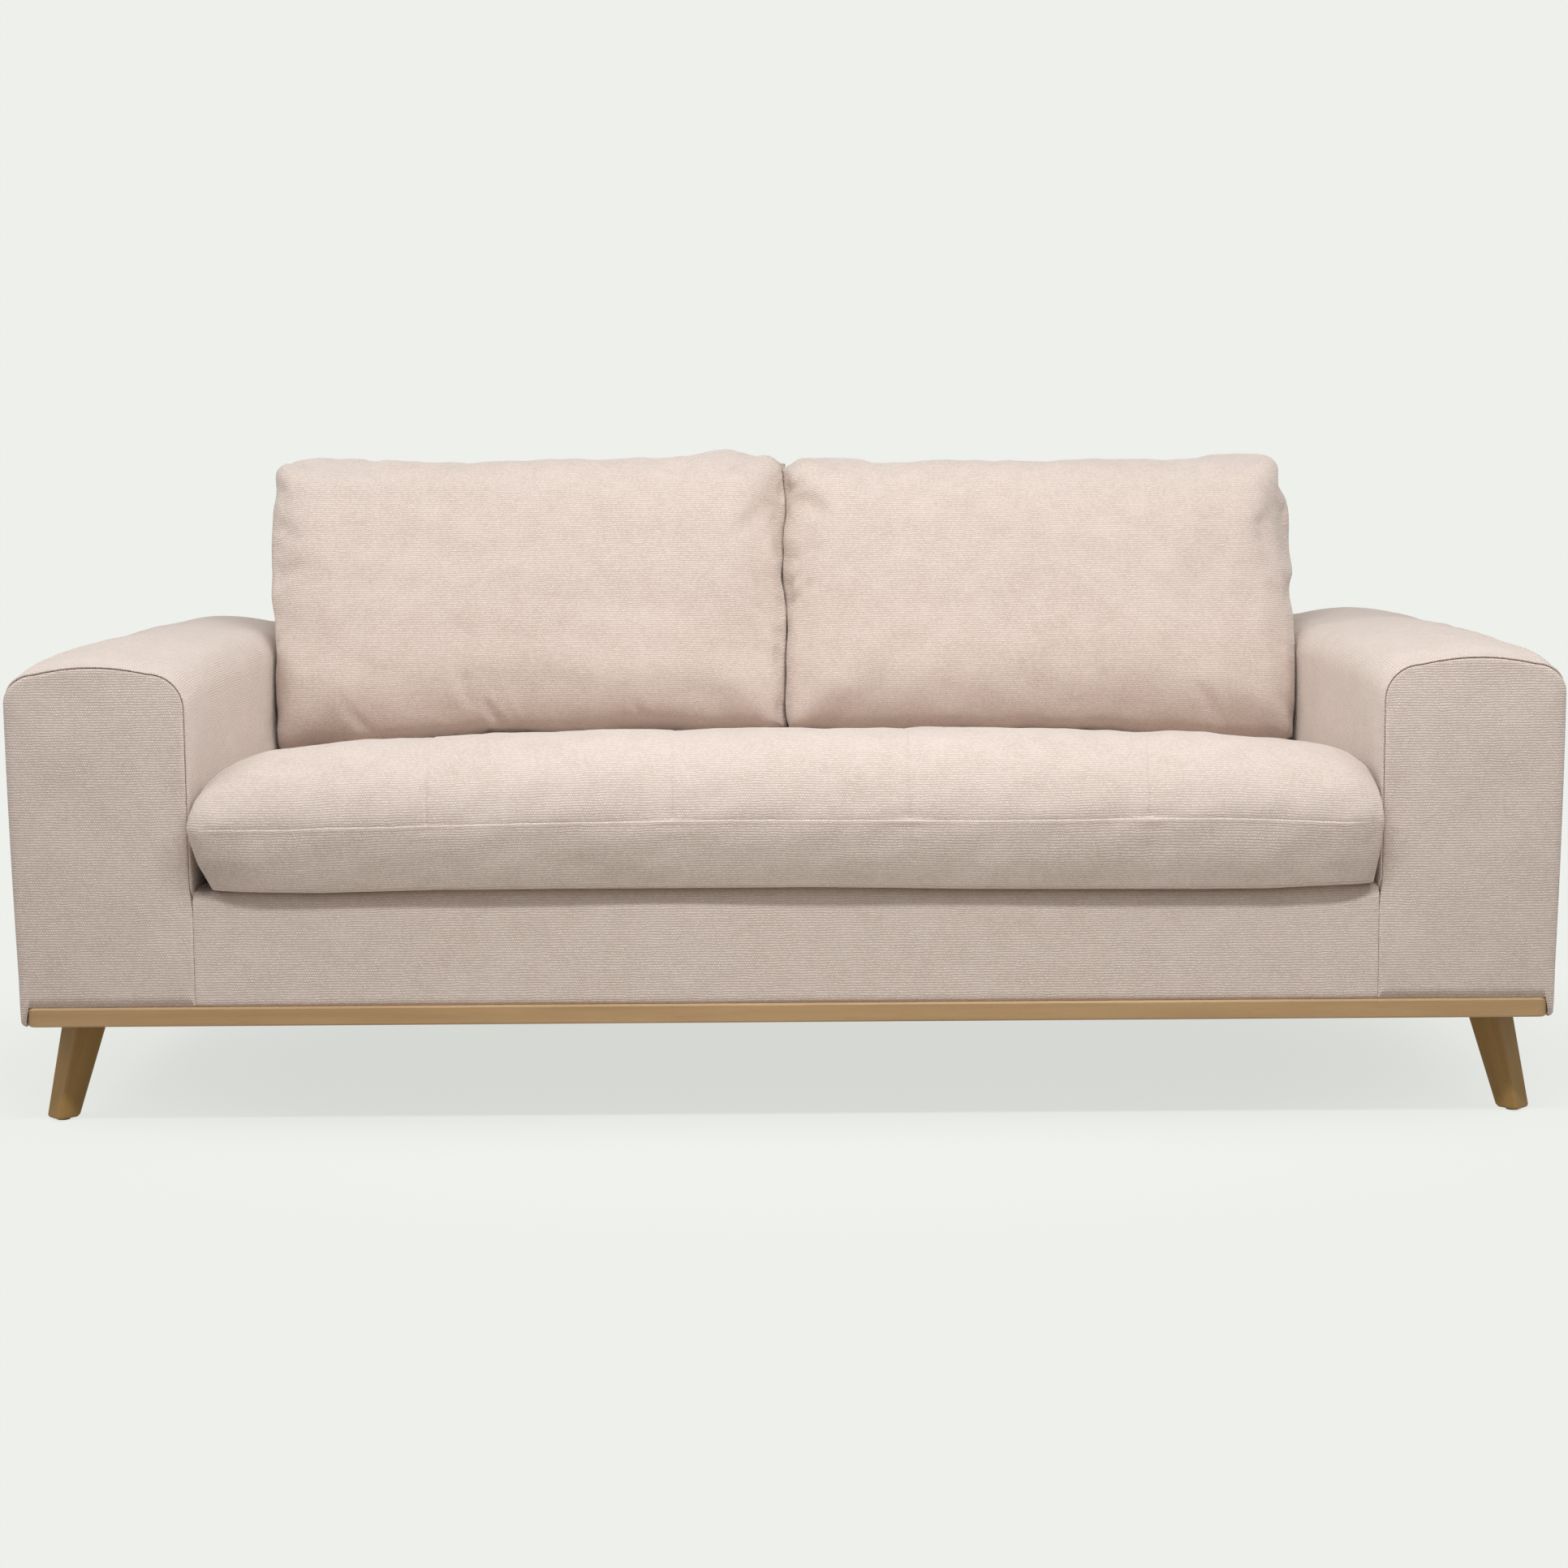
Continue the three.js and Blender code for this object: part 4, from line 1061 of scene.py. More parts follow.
@dataclass
class FrontRail:
    """The padded rail below the seat cushion.

    Attributes:
        places: Where the frame carries it.
        padding: Depth of its padding.
        top_depth: Depth of its padded top.
        top_thick: Thickness of the padding on top.
        radius: Radius of its upper front edge.
        sag: How far the seat cushion presses its upper edge down, as (x, drop) pairs.
    """

    places: Places
    padding: float = 0.020
    top_depth: float = 0.070
    top_thick: float = 0.030
    radius: float = 0.016
    sag: tuple[tuple[float, float], ...] = (
        (-0.74, 0.0010), (-0.61, 0.0032), (-0.46, 0.0), (0.035, 0.0), (0.25, 0.0040),
        (0.55, 0.0065), (0.64, 0.0060), (0.73, 0.0020),
    )

    def drop(self, x: Grid) -> Grid:
        """How far the upper edge is pressed down at x."""
        return np.interp(x, *zip(*self.sag))

    def top(self, x: Grid, depth: Grid) -> Grid:
        """Height of the padding's upper side, which rounds off towards the front."""
        r = self.radius
        onto = np.clip(depth, 0, r)
        fall = r - np.sqrt(r**2 - (r - onto) ** 2)
        return self.places.deck - fall - self.drop(x) * smoothstep(0.05 - depth, 0.0, 0.03)

    def section(self) -> Grid:
        """The rail cover's section as (depth, z), once round from its inner foot."""
        p, r, e = self.places, self.radius, 0.002
        foot, top = p.cover_foot, p.deck
        return np.concatenate([
            [[self.padding, foot], [e, foot], [e * 0.3, foot + e * 0.3], [0, foot + e]],
            arc((r, top - r), (r, r), BACK, UP, 16),
            [[self.top_depth - e, top], [self.top_depth, top - e]],
            [[self.top_depth, top - self.top_thick], [self.padding, top - self.top_thick]],
            [[self.padding, foot + 0.0005]],
        ])

    def build(self, finishes: Finishes) -> None:
        """Builds and dresses the rail's cover."""
        p = self.places
        half = p.inner - 0.0001
        section = self.section()
        section = resampled(section, spaced(0, length_of(section), 0.006))
        xs = spaced(-half, half, 0.009, seams=(-half + 0.004, half - 0.004))
        grid = swept(xs, section)
        cloth = cloth_of(grid)
        end = half - np.abs(grid[..., 0])
        front = smoothstep(0.015 - grid[..., 1], 0.0, 0.01)
        tuck = 0.0004 * bump(end, 0.003) + 0.0005 * bump(end, 0.02)
        high = smoothstep(grid[..., 2], p.deck - 0.07, p.deck - 0.01)
        pucker = 0.0018 * high * bump(end, 0.045) * np.sin(grid[..., 2] * 420 + end * 90)
        swell = 0.0012 * ripple(grid[..., 0], grid[..., 2], 0.3, 21)
        pressed = smoothstep(0.05 - grid[..., 1], 0.0, 0.03)
        pressed = pressed * smoothstep(grid[..., 2], p.deck - 0.06, p.deck - 0.012)
        grid[..., 2] -= self.drop(grid[..., 0]) * pressed
        grid[..., 1] += front * (tuck + pucker * 0.6 + swell * 0.7)
        grid[..., 1] = p.y(grid[..., 1])
        cover, _ = mesh_piece("front_rail_padding", grid, cloth, close=True)
        outfit(cover, finishes.cloth, "frame", ["front_rail_cover"])


# ---- Back -----------------------------------------------------------------------------


@dataclass
class Back:
    """The upholstered back: its padded inside, and the cover of its outside.

    Attributes:
        places: Where the frame carries it.
        rake: Run back of the padded face per unit of height.
        lean: How far the outside leans out beyond the arms.
        depth: Front to back at the seat.
        padding: Thickness of the padding.
        radius: Radius of its upper edges.
        skin: Thickness of the outside cover.
        drop: Height of the padded top's flap down the outside.
    """

    places: Places
    rake: float = 0.105
    lean: float = 0.020
    depth: float = 0.129
    padding: float = 0.035
    radius: float = 0.022
    skin: float = 0.007
    drop: float = 0.045

    def face(self, z: Grid) -> Grid:
        """Depth of the padded face at a height."""
        return self.places.rear - self.depth + self.rake * (z - self.places.deck)

    def rear(self, z: Grid) -> Grid:
        """Depth of the outside at a height."""
        p = self.places
        return p.rear + self.lean * (z - p.base) / (p.back_top - p.base)

    def inside(self) -> tuple[Grid, Grid]:
        """The padded inside's grid and cloth coordinates."""
        p, r = self.places, self.radius
        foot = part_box("inside_back_pad")[0][2]
        top = p.back_top
        flap = top - self.drop + 0.0003
        inner = top - self.padding
        heights = np.linspace(foot, top - r, 30)
        section = np.concatenate([
            np.stack([self.face(heights), heights], 1),
            arc((self.face(top - r) + r, top - r), (r, r), BACK, UP, 12)[1:],
            arc((self.rear(top - r) - r, top - r), (r, r), UP, LEVEL, 12),
            [[self.rear(flap + 0.002), flap + 0.002], [self.rear(flap) - 0.002, flap]],
            [[self.rear(flap) - self.skin, flap], [self.rear(inner) - self.skin, inner]],
            [[self.face(inner) + self.padding, inner], [self.face(foot) + self.padding, foot]],
            [[self.face(foot) + 0.0005, foot]],
        ])
        half = p.inner - 0.0015
        section = resampled(section, spaced(0, length_of(section), 0.008))
        grid = swept(spaced(-half, half, 0.012), section)
        cloth = cloth_of(grid)
        lift = 0.0012 * ripple(grid[..., 0], cloth[..., 1], 0.2, 51)
        grid[..., 2] += lift * smoothstep(grid[..., 2], top - 0.03, top)
        grid[..., 1] = p.y(grid[..., 1])
        return grid, cloth

    def outside(self) -> tuple[Grid, Grid]:
        """The outside cover's grid and cloth coordinates: a panel with side returns."""
        p = self.places
        half = p.inner - 0.0003
        top = p.back_top - self.drop
        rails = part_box("seat_rail_rear")[0][2]
        hem = p.back_top - self.padding - 0.0004
        zs = np.concatenate([spaced(p.base, top, 0.010), spaced(top + 0.0004, hem, 0.003)])
        grid_rows = []
        for z in zs:
            rear = float(self.rear(z)) - (self.skin + 0.0006 if z > top else 0)
            near = max(float(self.face(z)) + self.padding + 0.0006, rear - 0.12)
            side = near if z > rails else rear - self.skin
            outer = [
                [-half, side], [-half, rear - 0.006], [-half + 0.002, rear - 0.002],
                [-half + 0.006, rear],
            ]
            path = np.array(outer + [[-x, depth] for x, depth in outer[::-1]])
            inner = path.copy()
            inner[:, 0] = np.clip(inner[:, 0], -half + self.skin, half - self.skin)
            inner[:, 1] = np.where(inner[:, 1] > rear - self.skin, rear - self.skin, inner[:, 1])
            ring = np.concatenate([self.dense(path), self.dense(inner)[::-1]])
            grid_rows.append(np.column_stack([ring, np.full(len(ring), z)]))
        grid = np.stack(grid_rows)
        run = ring_lengths(grid)
        cloth = np.stack([run, np.repeat(zs[:, None], run.shape[1], 1)], axis=2)
        grid[..., 1] = p.y(grid[..., 1])
        return grid, cloth

    @staticmethod
    def dense(path: Grid) -> Grid:
        """The outside cover's path with even points on its long run."""
        left, right = path[:4], path[4:]
        run = np.linspace(path[3], path[4], 120)[1:-1]
        side = resampled(left[:2], np.linspace(0, length_of(left[:2]), 8))
        other = resampled(right[-2:], np.linspace(0, length_of(right[-2:]), 8))
        return np.concatenate([side, left[2:], run, right[:2], other])

    def build(self, finishes: Finishes) -> None:
        """Builds and dresses both covers of the back."""
        for name, node, shape, fill in (
            ("inside_back_padding", "inside_back_pad", self.inside(), 0.7),
            ("outside_back_cover", "outside_back_panel", self.outside(), 1.0),
        ):
            piece, _ = mesh_piece(name, *shape, close=True)
            outfit(piece, finishes.cloth, "frame", [node])


# ---- Loose cushions -------------------------------------------------------------------


@dataclass
class SeatCushion:
    """The one long seat cushion: a top of five panels sewn to a boxed under part.

    Attributes:
        places: Where the frame carries it.
        rail: The front rail that it rests on.
        clearance: Room between it and its neighbours.
        side_clearance: Room between it and each arm.
        overhang: How far its nose stands before the arm fronts.
        thick: Thickness at its crown.
        crown_depth: Depth of the crown.
        nose: Height of its foremost line above its underside.
        seam: Height of the horizontal seam above its underside, as (x, height) pairs.
        bow_power: How round the bow from its nose to its crown is.
        hang: Share of the nose's height over which it falls straight.
        rear_round: Half widths and heights of its upper and lower rear edges.
        heel: Depth at which its hanging nose ends.
        lip: Height of its lower front edge above its underside.
        turn_in: How far its lower edge lies behind its nose.
        rear_drop: Fall of its top from the crown to its rear.
        rear_power: How late that fall sets in.
        end_drop: Share of its thickness that it loses towards its left and right ends.
        end_power: How late that loss sets in.
        end_round: Lengths over which its left and right ends round off.
        end_fall: Shares of the height over the seam that they lose as they round off.
        end_tuck: How far their seam draws back there.
        low_tuck: How far its left and right ends draw in from the seam to the underside.
        high_tuck: How far its ends draw in from the seam to the top.
        seams: Places of the seams that run back over the top.
        rear_gap: Distance of its rear from the rear of the sofa.
    """

    places: Places
    rail: FrontRail
    clearance: float = 0.0005
    side_clearance: float = 0.0015
    overhang: float = 0.038
    thick: float = 0.2035
    crown_depth: float = 0.072
    nose: float = 0.086
    seam: tuple[tuple[float, float], ...] = (
        (-0.713, 0.0885), (-0.655, 0.0878), (-0.606, 0.0900), (-0.490, 0.0915),
        (-0.392, 0.0937), (-0.280, 0.0952), (-0.070, 0.0970), (0.036, 0.0962),
        (0.247, 0.0940), (0.352, 0.0938), (0.458, 0.0950), (0.563, 0.0950),
        (0.627, 0.0932), (0.729, 0.0880),
    )
    bow_power: float = 2 / 2.05
    hang: float = 0.94
    rear_round: tuple[tuple[float, float], ...] = ((0.020, 0.030), (0.016, 0.016))
    heel: float = 0.024
    lip: float = 0.0022
    turn_in: float = 0.025
    rear_drop: float = 0.0755
    rear_power: float = 1.175
    end_drop: tuple[float, float] = (0.17, 0.155)
    end_power: float = 3.0
    end_round: tuple[float, float] = (0.095, 0.070)
    end_fall: tuple[float, float] = (0.70, 0.40)
    end_tuck: float = 0.0128
    low_tuck: tuple[float, float] = (0.028, 0.008)
    high_tuck: float = 0.010
    seams: tuple[float, ...] = (-0.471, -0.148, 0.164, 0.480)
    rear_gap: float = 0.1295

    def seam_height(self, x: float | Grid) -> float | Grid:
        """Height of the horizontal seam above the underside at x."""
        return np.interp(x, *zip(*self.seam))

    def top(self, x: Grid, depth: Grid) -> Grid:
        """Height of the top panel, before its ends round off."""
        rear = self.places.rear - self.rear_gap
        t = np.maximum((depth - self.crown_depth) / (rear - self.crown_depth), 0)
        thick = self.thick - self.rear_drop * t**self.rear_power
        drop = np.where(np.asarray(x) < 0, *self.end_drop)
        foot = self.places.deck + self.clearance
        return foot + thick * (1 - drop * np.abs(x / self.places.inner) ** self.end_power)

    def panels(self, x: float) -> tuple[Grid, Grid]:
        """The section at x as (depth, z): over the top, and under the cushion.

        Both run from the front seam to the rear seam.
        """
        foot = self.places.deck + self.clearance
        nose, front = foot + self.nose, -self.overhang
        rear = self.places.rear - self.rear_gap
        crown = float(self.top(np.array(x), np.array(self.crown_depth)))
        a = np.linspace(BACK, UP, 60)
        bow = np.stack([
            self.crown_depth - (self.crown_depth - front) * np.abs(np.cos(a)) ** self.bow_power,
            nose + (crown - nose) * np.abs(np.sin(a)) ** self.bow_power,
        ], 1)
        high, low = self.rear_round
        depths = np.linspace(self.crown_depth, rear - high[0], 30)[1:]
        flat = np.stack([depths, self.top(np.full_like(depths, x), depths)], 1)
        rear_top = float(self.top(np.array(x), np.array(rear)))
        middle = np.array([[rear, (rear_top + foot) / 2]])
        over = np.concatenate([
            bow, flat, arc((rear - high[0], flat[-1, 1] - high[1]), high, UP, LEVEL, 10)[1:], middle
        ])
        seam_z = foot + self.seam_height(x)
        cut = int(np.searchsorted(bow[:, 1], seam_z))
        seam = np.array([[np.interp(seam_z, bow[:, 1], bow[:, 0]), seam_z]])
        fall = np.linspace(0, self.hang, 40)
        lip = front + self.turn_in * self.hang**1.6
        curl = self.nose * (1 - self.hang) - self.lip
        under = np.concatenate([
            seam, over[:cut][::-1],
            np.stack([front + self.turn_in * fall**1.6, nose - (nose - foot) * fall], 1)[1:],
            arc((lip + 0.004, foot + self.lip + curl), (0.004, curl), BACK, 1.5 * BACK, 8)[1:],
            [[0.006, foot + self.lip], [self.heel, foot], [rear - low[0], foot]],
            arc((rear - low[0], foot + low[1]), low, DOWN, LEVEL, 10)[1:], middle,
        ])
        return np.concatenate([seam, over[cut:]]), under

    @property
    def half(self) -> float:
        """Half of its length."""
        return self.places.inner - self.side_clearance

    def stations(self) -> Grid:
        """Its sections as rows of x, turn round the end, and how far the end's cap is closed."""
        half, (left, right) = self.half, self.end_round
        turns = np.linspace(LEVEL, UP, 16)[1:]
        caps = (0.08, 0.2, 0.36, 0.54, 0.74, 0.9, 1.0)
        return np.array([
            *((-half, UP, cap) for cap in caps[::-1]),
            *((left - half - left * math.sin(turn), turn, 0.0) for turn in turns[::-1]),
            *((x, 0.0, 0.0) for x in spaced(left - half, half - right, 0.0085, self.seams)),
            *((half - right + right * math.sin(turn), turn, 0.0) for turn in turns),
            *((half, UP, cap) for cap in caps),
        ])

    def sections(self, stations: Grid) -> tuple[Grid, Grid]:
        """The top and under panels at the stations, fallen where the ends round off.

        Args:
            stations: Rows of x, turn and closing.

        Returns:
            Both panels as (station, point, 2), from the front seam to the rear seam.
        """
        near = np.array([0, 0.9, 1.8, 3.0, 4.6, 6.6]) * 0.001
        long, short = (length_of(panel) for panel in self.panels(-self.half))
        top_places = np.concatenate([near, np.linspace(0.01, long, 124)]) / long
        low_places = np.concatenate([
            near, np.linspace(0.01, 0.16, 40), np.linspace(0.166, short, 84)
        ]) / short
        rows: tuple[list[Grid], list[Grid]] = ([], [])
        for x, turn, _ in stations:
            off = 1 - math.cos(turn)
            back = self.end_tuck * off
            for row, bare, places, seam_back in zip(
                rows, self.panels(x), (top_places, low_places), (0.0, back)
            ):
                panel = resampled(bare, places * length_of(bare))
                panel[:, 0] += back * bump(panel[:, 0] - panel[0, 0] - seam_back, 0.08)
                rise = panel[:, 1] - panel[0, 1]
                fall = np.where(rise > 0, self.end_fall[int(x > 0)], 0.02)
                panel[:, 1] -= rise * fall * off
                row.append(panel)
        return np.stack(rows[0]), np.stack(rows[1])

    def raised(self, panel: Grid, xs: Grid) -> Grid:
        """Adds x to a panel's points, drawn in away from the seam at the ends."""
        height = self.seam_height(xs)[:, None]
        rise = panel[..., 1] - self.places.deck - self.clearance - height
        high = np.clip(rise / (self.thick - height), 0, 1)
        low = np.clip(-rise / height, 0, 1)
        tuck = np.where(xs > 0, self.low_tuck[1], self.low_tuck[0])[:, None]
        draw = self.high_tuck * high**1.5 + tuck * low**1.25
        end = smoothstep(np.abs(xs), self.half - 0.165, self.half)[:, None]
        x = xs[:, None] - np.sign(xs)[:, None] * draw * end
        return np.stack([x, panel[..., 0], panel[..., 1]], axis=2)

    def surface(self) -> tuple[Grid, Grid]:
        """The cushion's wrapped grid and cloth coordinates."""
        stations = self.stations()
        xs, _, closing = stations.T
        top, low = (self.raised(panel, xs) for panel in self.sections(stations))
        meet = (top + low) / 2
        seam_z = self.places.deck + self.clearance + self.seam_height(xs)[:, None]
        meet[..., 2] = seam_z - 0.02 * smoothstep(meet[..., 1], 0.1, 0.7)
        meet[..., 0] = np.sign(xs)[:, None] * self.half
        for i in np.nonzero(closing)[0]:
            share = closing[i]
            for panel in (top, low):
                panel[i] += share**1.15 * (meet[i] - panel[i])
                panel[i, :, 0] -= math.copysign(1, xs[i]) * 0.004 * (1 - share) * share
        ring = np.concatenate([low[:, ::-1], top[:, 1:]], axis=1)[:, 1:]
        lengths = ring_lengths(ring)
        seam_at = low.shape[1] - 2
        across = lengths - lengths[:, seam_at:seam_at + 1]
        along = run_of(ring[:, seam_at + 60])
        along -= along[len(along) // 2]
        cloth = np.stack([np.repeat(along[:, None], ring.shape[1], 1), across], axis=2)
        return self.sewn(ring, cloth), cloth

    def sewn(self, ring: Grid, cloth: Grid) -> Grid:
        """Adds the seams, puckers and lumps to the bare shape."""
        normal = normals_of(ring, wrapped=True)
        x, across = ring[..., 0], cloth[..., 1]
        end = self.half - np.abs(x)
        # the front seam: a fine groove, the welt below it and the fuller cloth above it
        lift = -0.0007 * bump(across, 0.0014) + 0.0006 * bump(across + 0.0032, 0.0022)
        lift += 0.0006 * bump(across - 0.014, 0.010)
        lift *= smoothstep(end, 0.010, 0.050)
        # the seams over the top: a fine groove in a shallow valley, puckered at the front
        on_top = smoothstep(across, -0.001, 0.002)
        for i, place in enumerate(self.seams):
            line = x - place * (1 + 0.26 * np.clip(ring[..., 1] + 0.015, 0, 0.08))
            lift -= 0.0016 * on_top * (bump(line, 0.0016) + bump(line, 0.03))
            lift += 0.0006 * bump(line, 0.02) * bump(across, 0.03) * np.sin(across * 300 + i)
        # puckers along the front seam, deepest at its ends
        near = bump(across, 0.016) * (0.25 + bump(end, 0.10))
        lift += near * 0.0010 * ripple(x, across * 0.35, 0.014, 31)
        # lumps of the filling, calm at the foot and under the back cushions
        calm = smoothstep(ring[..., 2], self.places.deck + 0.01, self.places.deck + 0.05)
        calm *= 1 - 0.85 * smoothstep(ring[..., 1], 0.44, 0.53)
        for height, wave, seed in ((0.0016, 0.26, 33), (0.0008, 0.07, 34)):
            lift += calm * height * ripple(x, across, wave, seed)
        inside = 1 - smoothstep(np.abs(x), self.half - 0.012, self.half)
        out = ring + normal * (lift * inside)[..., None]
        out[..., 0] = np.clip(out[..., 0], -self.half, self.half)
        depth = out[..., 1]
        hang = self.rail.drop(out[..., 0]) * smoothstep(self.heel - depth, 0.0, self.heel)
        out[..., 2] -= hang * smoothstep(self.places.deck + self.nose - out[..., 2], 0.0, 0.05)
        floor = self.rail.top(out[..., 0], depth + 0.003) + self.clearance
        floor = np.where(depth < -0.003, floor - 0.02, floor)
        out[..., 2] = np.maximum(out[..., 2], floor)
        return out

    def build(self, finishes: Finishes) -> None:
        """Builds and dresses the seat cushion."""
        ring, cloth = self.surface()
        ring[..., 1] = self.places.y(ring[..., 1])
        cushion, _ = mesh_piece("seat_cushion_cover", ring, cloth)
        outfit(cushion, finishes.cloth, "seat_cushion", ["seat_cushion"])


@dataclass(frozen=True)
class Crease:
    """One fold in a cushion's front, from one point to another.

    Attributes:
        start: (across, up) of its deep end, in metres in the cushion's front.
        end: (across, up) of its far end.
        width: Half width of the fold.
        depth: Depth of the fold.
    """

    start: tuple[float, float]
    end: tuple[float, float]
    width: float
    depth: float

    def height(self, u: Grid, v: Grid) -> Grid:
        """Height of the fold at each point: a valley with a soft ridge on each side."""
        a, b = np.array(self.start), np.array(self.end)
        run = b - a
        size = float(np.hypot(*run))
        t = ((u - a[0]) * run[0] + (v - a[1]) * run[1]) / size**2
        side = ((v - a[1]) * run[0] - (u - a[0]) * run[1]) / size
        bend = side + 0.22 * size * np.clip(t, 0, 1) * (1 - np.clip(t, 0, 1))
        past = np.maximum(np.maximum(-t, t - 1), 0) * size
        fade = bump(past, 1.6 * self.width) * (1 - 0.65 * np.clip(t, 0, 1))
        valley = -bump(bend, self.width) + 0.55 * bump(np.abs(bend) - 2 * self.width, self.width)
        return self.depth * fade * valley


@dataclass(frozen=True)
class Fullness:
    """How one back cushion has settled against its neighbours.

    Attributes:
        top: Height of the middle of its top.
        lean: How far its top falls from its middle to its outer end.
        bulge: How far its outer end swells above the arm.
        taper: How far its outer end draws in towards the top.
    """

    top: float
    lean: float
    bulge: float
    taper: float


@dataclass
class BackCushion:
    """One loose back cushion, leaning on the padded back.

    Attributes:
        side: Which end of the sofa it fills.
        places: Where the frame carries it.
        seat: The seat cushion that it stands on.
        back: The padded back that it leans on.
        fullness: How it has settled.
        creases: Folds of its front, across from the centre joint and up from the floor.
        seed: Seed of its own unevenness.
        split: Room between it and the middle of the sofa.
        side_clearance: Room between it and the arm.
        foot_thick: Thickness at its foot.
        top_thick: Thickness at its top.
        rear_room: Room between its foot and the padded back.
        settle: Room between it and the seat cushion.
        squareness: Powers of its lower and upper edges' curves: the lower, the squarer.
        belly: How much its front swells, as a share of its thickness.
        corner: Where its corners begin along its half length, their span and their power.
        corner_fall: Shares of its height that its inner top, outer top and foot corners lose.
        top_fall: Share of its height that its top loses towards both ends.
        blunt: Shares of its height between which its ends turn from full to thin.
        sewn_edge: Distance from its ends within which the filling does not move the cloth.
        joint: Height, wavelength, place and reach of the waves where both cushions meet.
        softness: How far its lower part rounds off, in steps.
    """

    side: Side
    places: Places
    seat: SeatCushion
    back: Back
    fullness: Fullness
    creases: tuple[Crease, ...]
    seed: int
    split: float = 0.0004
    side_clearance: float = 0.0015
    foot_thick: float = 0.196
    top_thick: float = 0.170
    rear_room: float = 0.0305
    settle: float = 0.0015
    squareness: tuple[float, float] = (2 / 6.5, 2 / 4.8)
    belly: float = 0.15
    corner: tuple[float, float, float] = (0.93, 0.07, 2.2)
    corner_fall: tuple[float, float, float] = (0.095, 0.055, 0.03)
    top_fall: float = 0.02
    blunt: tuple[float, float] = (0.80, 0.34)
    sewn_edge: float = 0.0012
    joint: tuple[float, float, float, float] = (0.0032, 0.055, 0.6, 0.04)
    softness: int = 14

    @property
    def ends(self) -> tuple[float, float]:
        """Places of its inner and outer end, across from the centre joint."""
        return self.split, self.places.inner - self.side_clearance

    def back_face(self, z: Grid) -> Grid:
        """Depth of the padded back's face at a height, less the clearance."""
        return self.back.face(z) - 0.0005

    def swell(self, z: Grid) -> Grid:
        """How far the outer end stands out over the arm at a height."""
        over = smoothstep(z, self.places.arm_top + 0.004, self.places.arm_top + 0.04)
        return self.fullness.bulge * over

    def seat_under(self, x: Grid, depth: float | Grid) -> Grid:
        """Height at which the cushion stands on the seat cushion."""
        return self.seat.top(self.side.value * x, depth) + self.settle

    def surface(self) -> tuple[Grid, Grid]:
        """The cushion's wrapped grid and cloth coordinates, before it is mirrored."""
        x0, x1 = self.ends
        back = self.places.rear - self.back.depth
        front_foot, rear_foot = back - self.foot_thick, back - self.rear_room
        edge = np.array([
            0, 0.05, 0.1, 0.2, 0.4, 0.7, 1.1, 1.7, 2.5, 3.7, 5.5, 8, 12, 18, 26, 34
        ]) * 0.001
        body = np.linspace(0.042, x1 - x0 - 0.042, 92)
        places = np.concatenate([edge, body, (x1 - x0) - edge[::-1]])
        u = (2 * places / (x1 - x0) - 1)[:, None]
        count = 84
        dense = np.linspace(DOWN, UP, 600)
        power = np.where(dense < 0, *self.squareness)
        curve = np.stack([
            np.abs(np.cos(dense)) ** power,
            np.sign(np.sin(dense)) * np.abs(np.sin(dense)) ** power,
        ], 1)
        curve = resampled(curve, np.linspace(0, length_of(curve), count))
        s, t = curve[:, 0][None], curve[:, 1][None]
        fall = np.abs(u)
        begin, span, steep = self.corner
        corner = np.clip((fall - begin) / span, 0, 1) ** steep
        top_inner, top_outer, low = self.corner_fall
        round_top = np.where(u < 0, top_inner, top_outer) * corner
        tall = 1 - np.where(t > 0, self.top_fall * fall**6 + round_top, low * corner)
        x = x0 + (x1 - x0) * (u + 1) / 2
        foot_z = (self.seat_under(x, front_foot) + self.seat_under(x, rear_foot)) / 2
        h = (1 + t * tall) / 2
        blunt = smoothstep(h, *self.blunt)
        thin = np.clip(1 - fall ** (24 + 40 * blunt), 0, 1) ** (0.35 - 0.17 * blunt)
        top = self.fullness.top - self.fullness.lean * u
        z = foot_z + (top - foot_z) * h
        rear = self.back_face(z)
        top_front = self.back_face(top) - self.top_thick
        front = front_foot + (top_front - front_foot) * h
        centre = (rear + front) / 2
        half_thick = (rear - front) / 2
        arch = np.where(t > 0, 1 - t * t, 1 - np.abs(t) ** 7)
        belly = 1 + self.belly * arch * (1 - u**4)
        out = np.clip(u, 0, 1) ** 3
        shift = out * (self.swell(z) - self.fullness.taper * smoothstep(h, 0.3, 0.8))
        panels = []
        thick = s * thin * half_thick
        for depth in (centre - thick * belly, np.minimum(centre + thick, rear)):
            sunk = np.where(h < 0.5, (1 - 2 * h) * (self.seat_under(x, depth) - foot_z), 0)
            panels.append(np.stack(np.broadcast_arrays(x + shift, depth, z + sunk), axis=2))
        ring = np.concatenate([panels[0], panels[1][:, -2:0:-1]], axis=1)
        lengths = ring_lengths(ring)
        rows = lengths - lengths[:, count // 2:count // 2 + 1] + ring[:, count // 2, 2][:, None]
        cloth = np.stack([np.broadcast_to(x, rows.shape), rows], axis=2)
        return ring, cloth

    def settled(self, ring: Grid) -> Grid:
        """Rounds the lower part of the filled cover, where the filling is soft."""
        soft = ring
        for _ in range(self.softness):
            soft = (np.roll(soft, 1, axis=1) + 2 * soft + np.roll(soft, -1, axis=1)) / 4
        low = smoothstep(self.fullness.top - ring[..., 2], 0.16, 0.26)
        return ring + (low * (ring[..., 1] < soft[..., 1] + 0.05))[..., None] * (soft - ring)

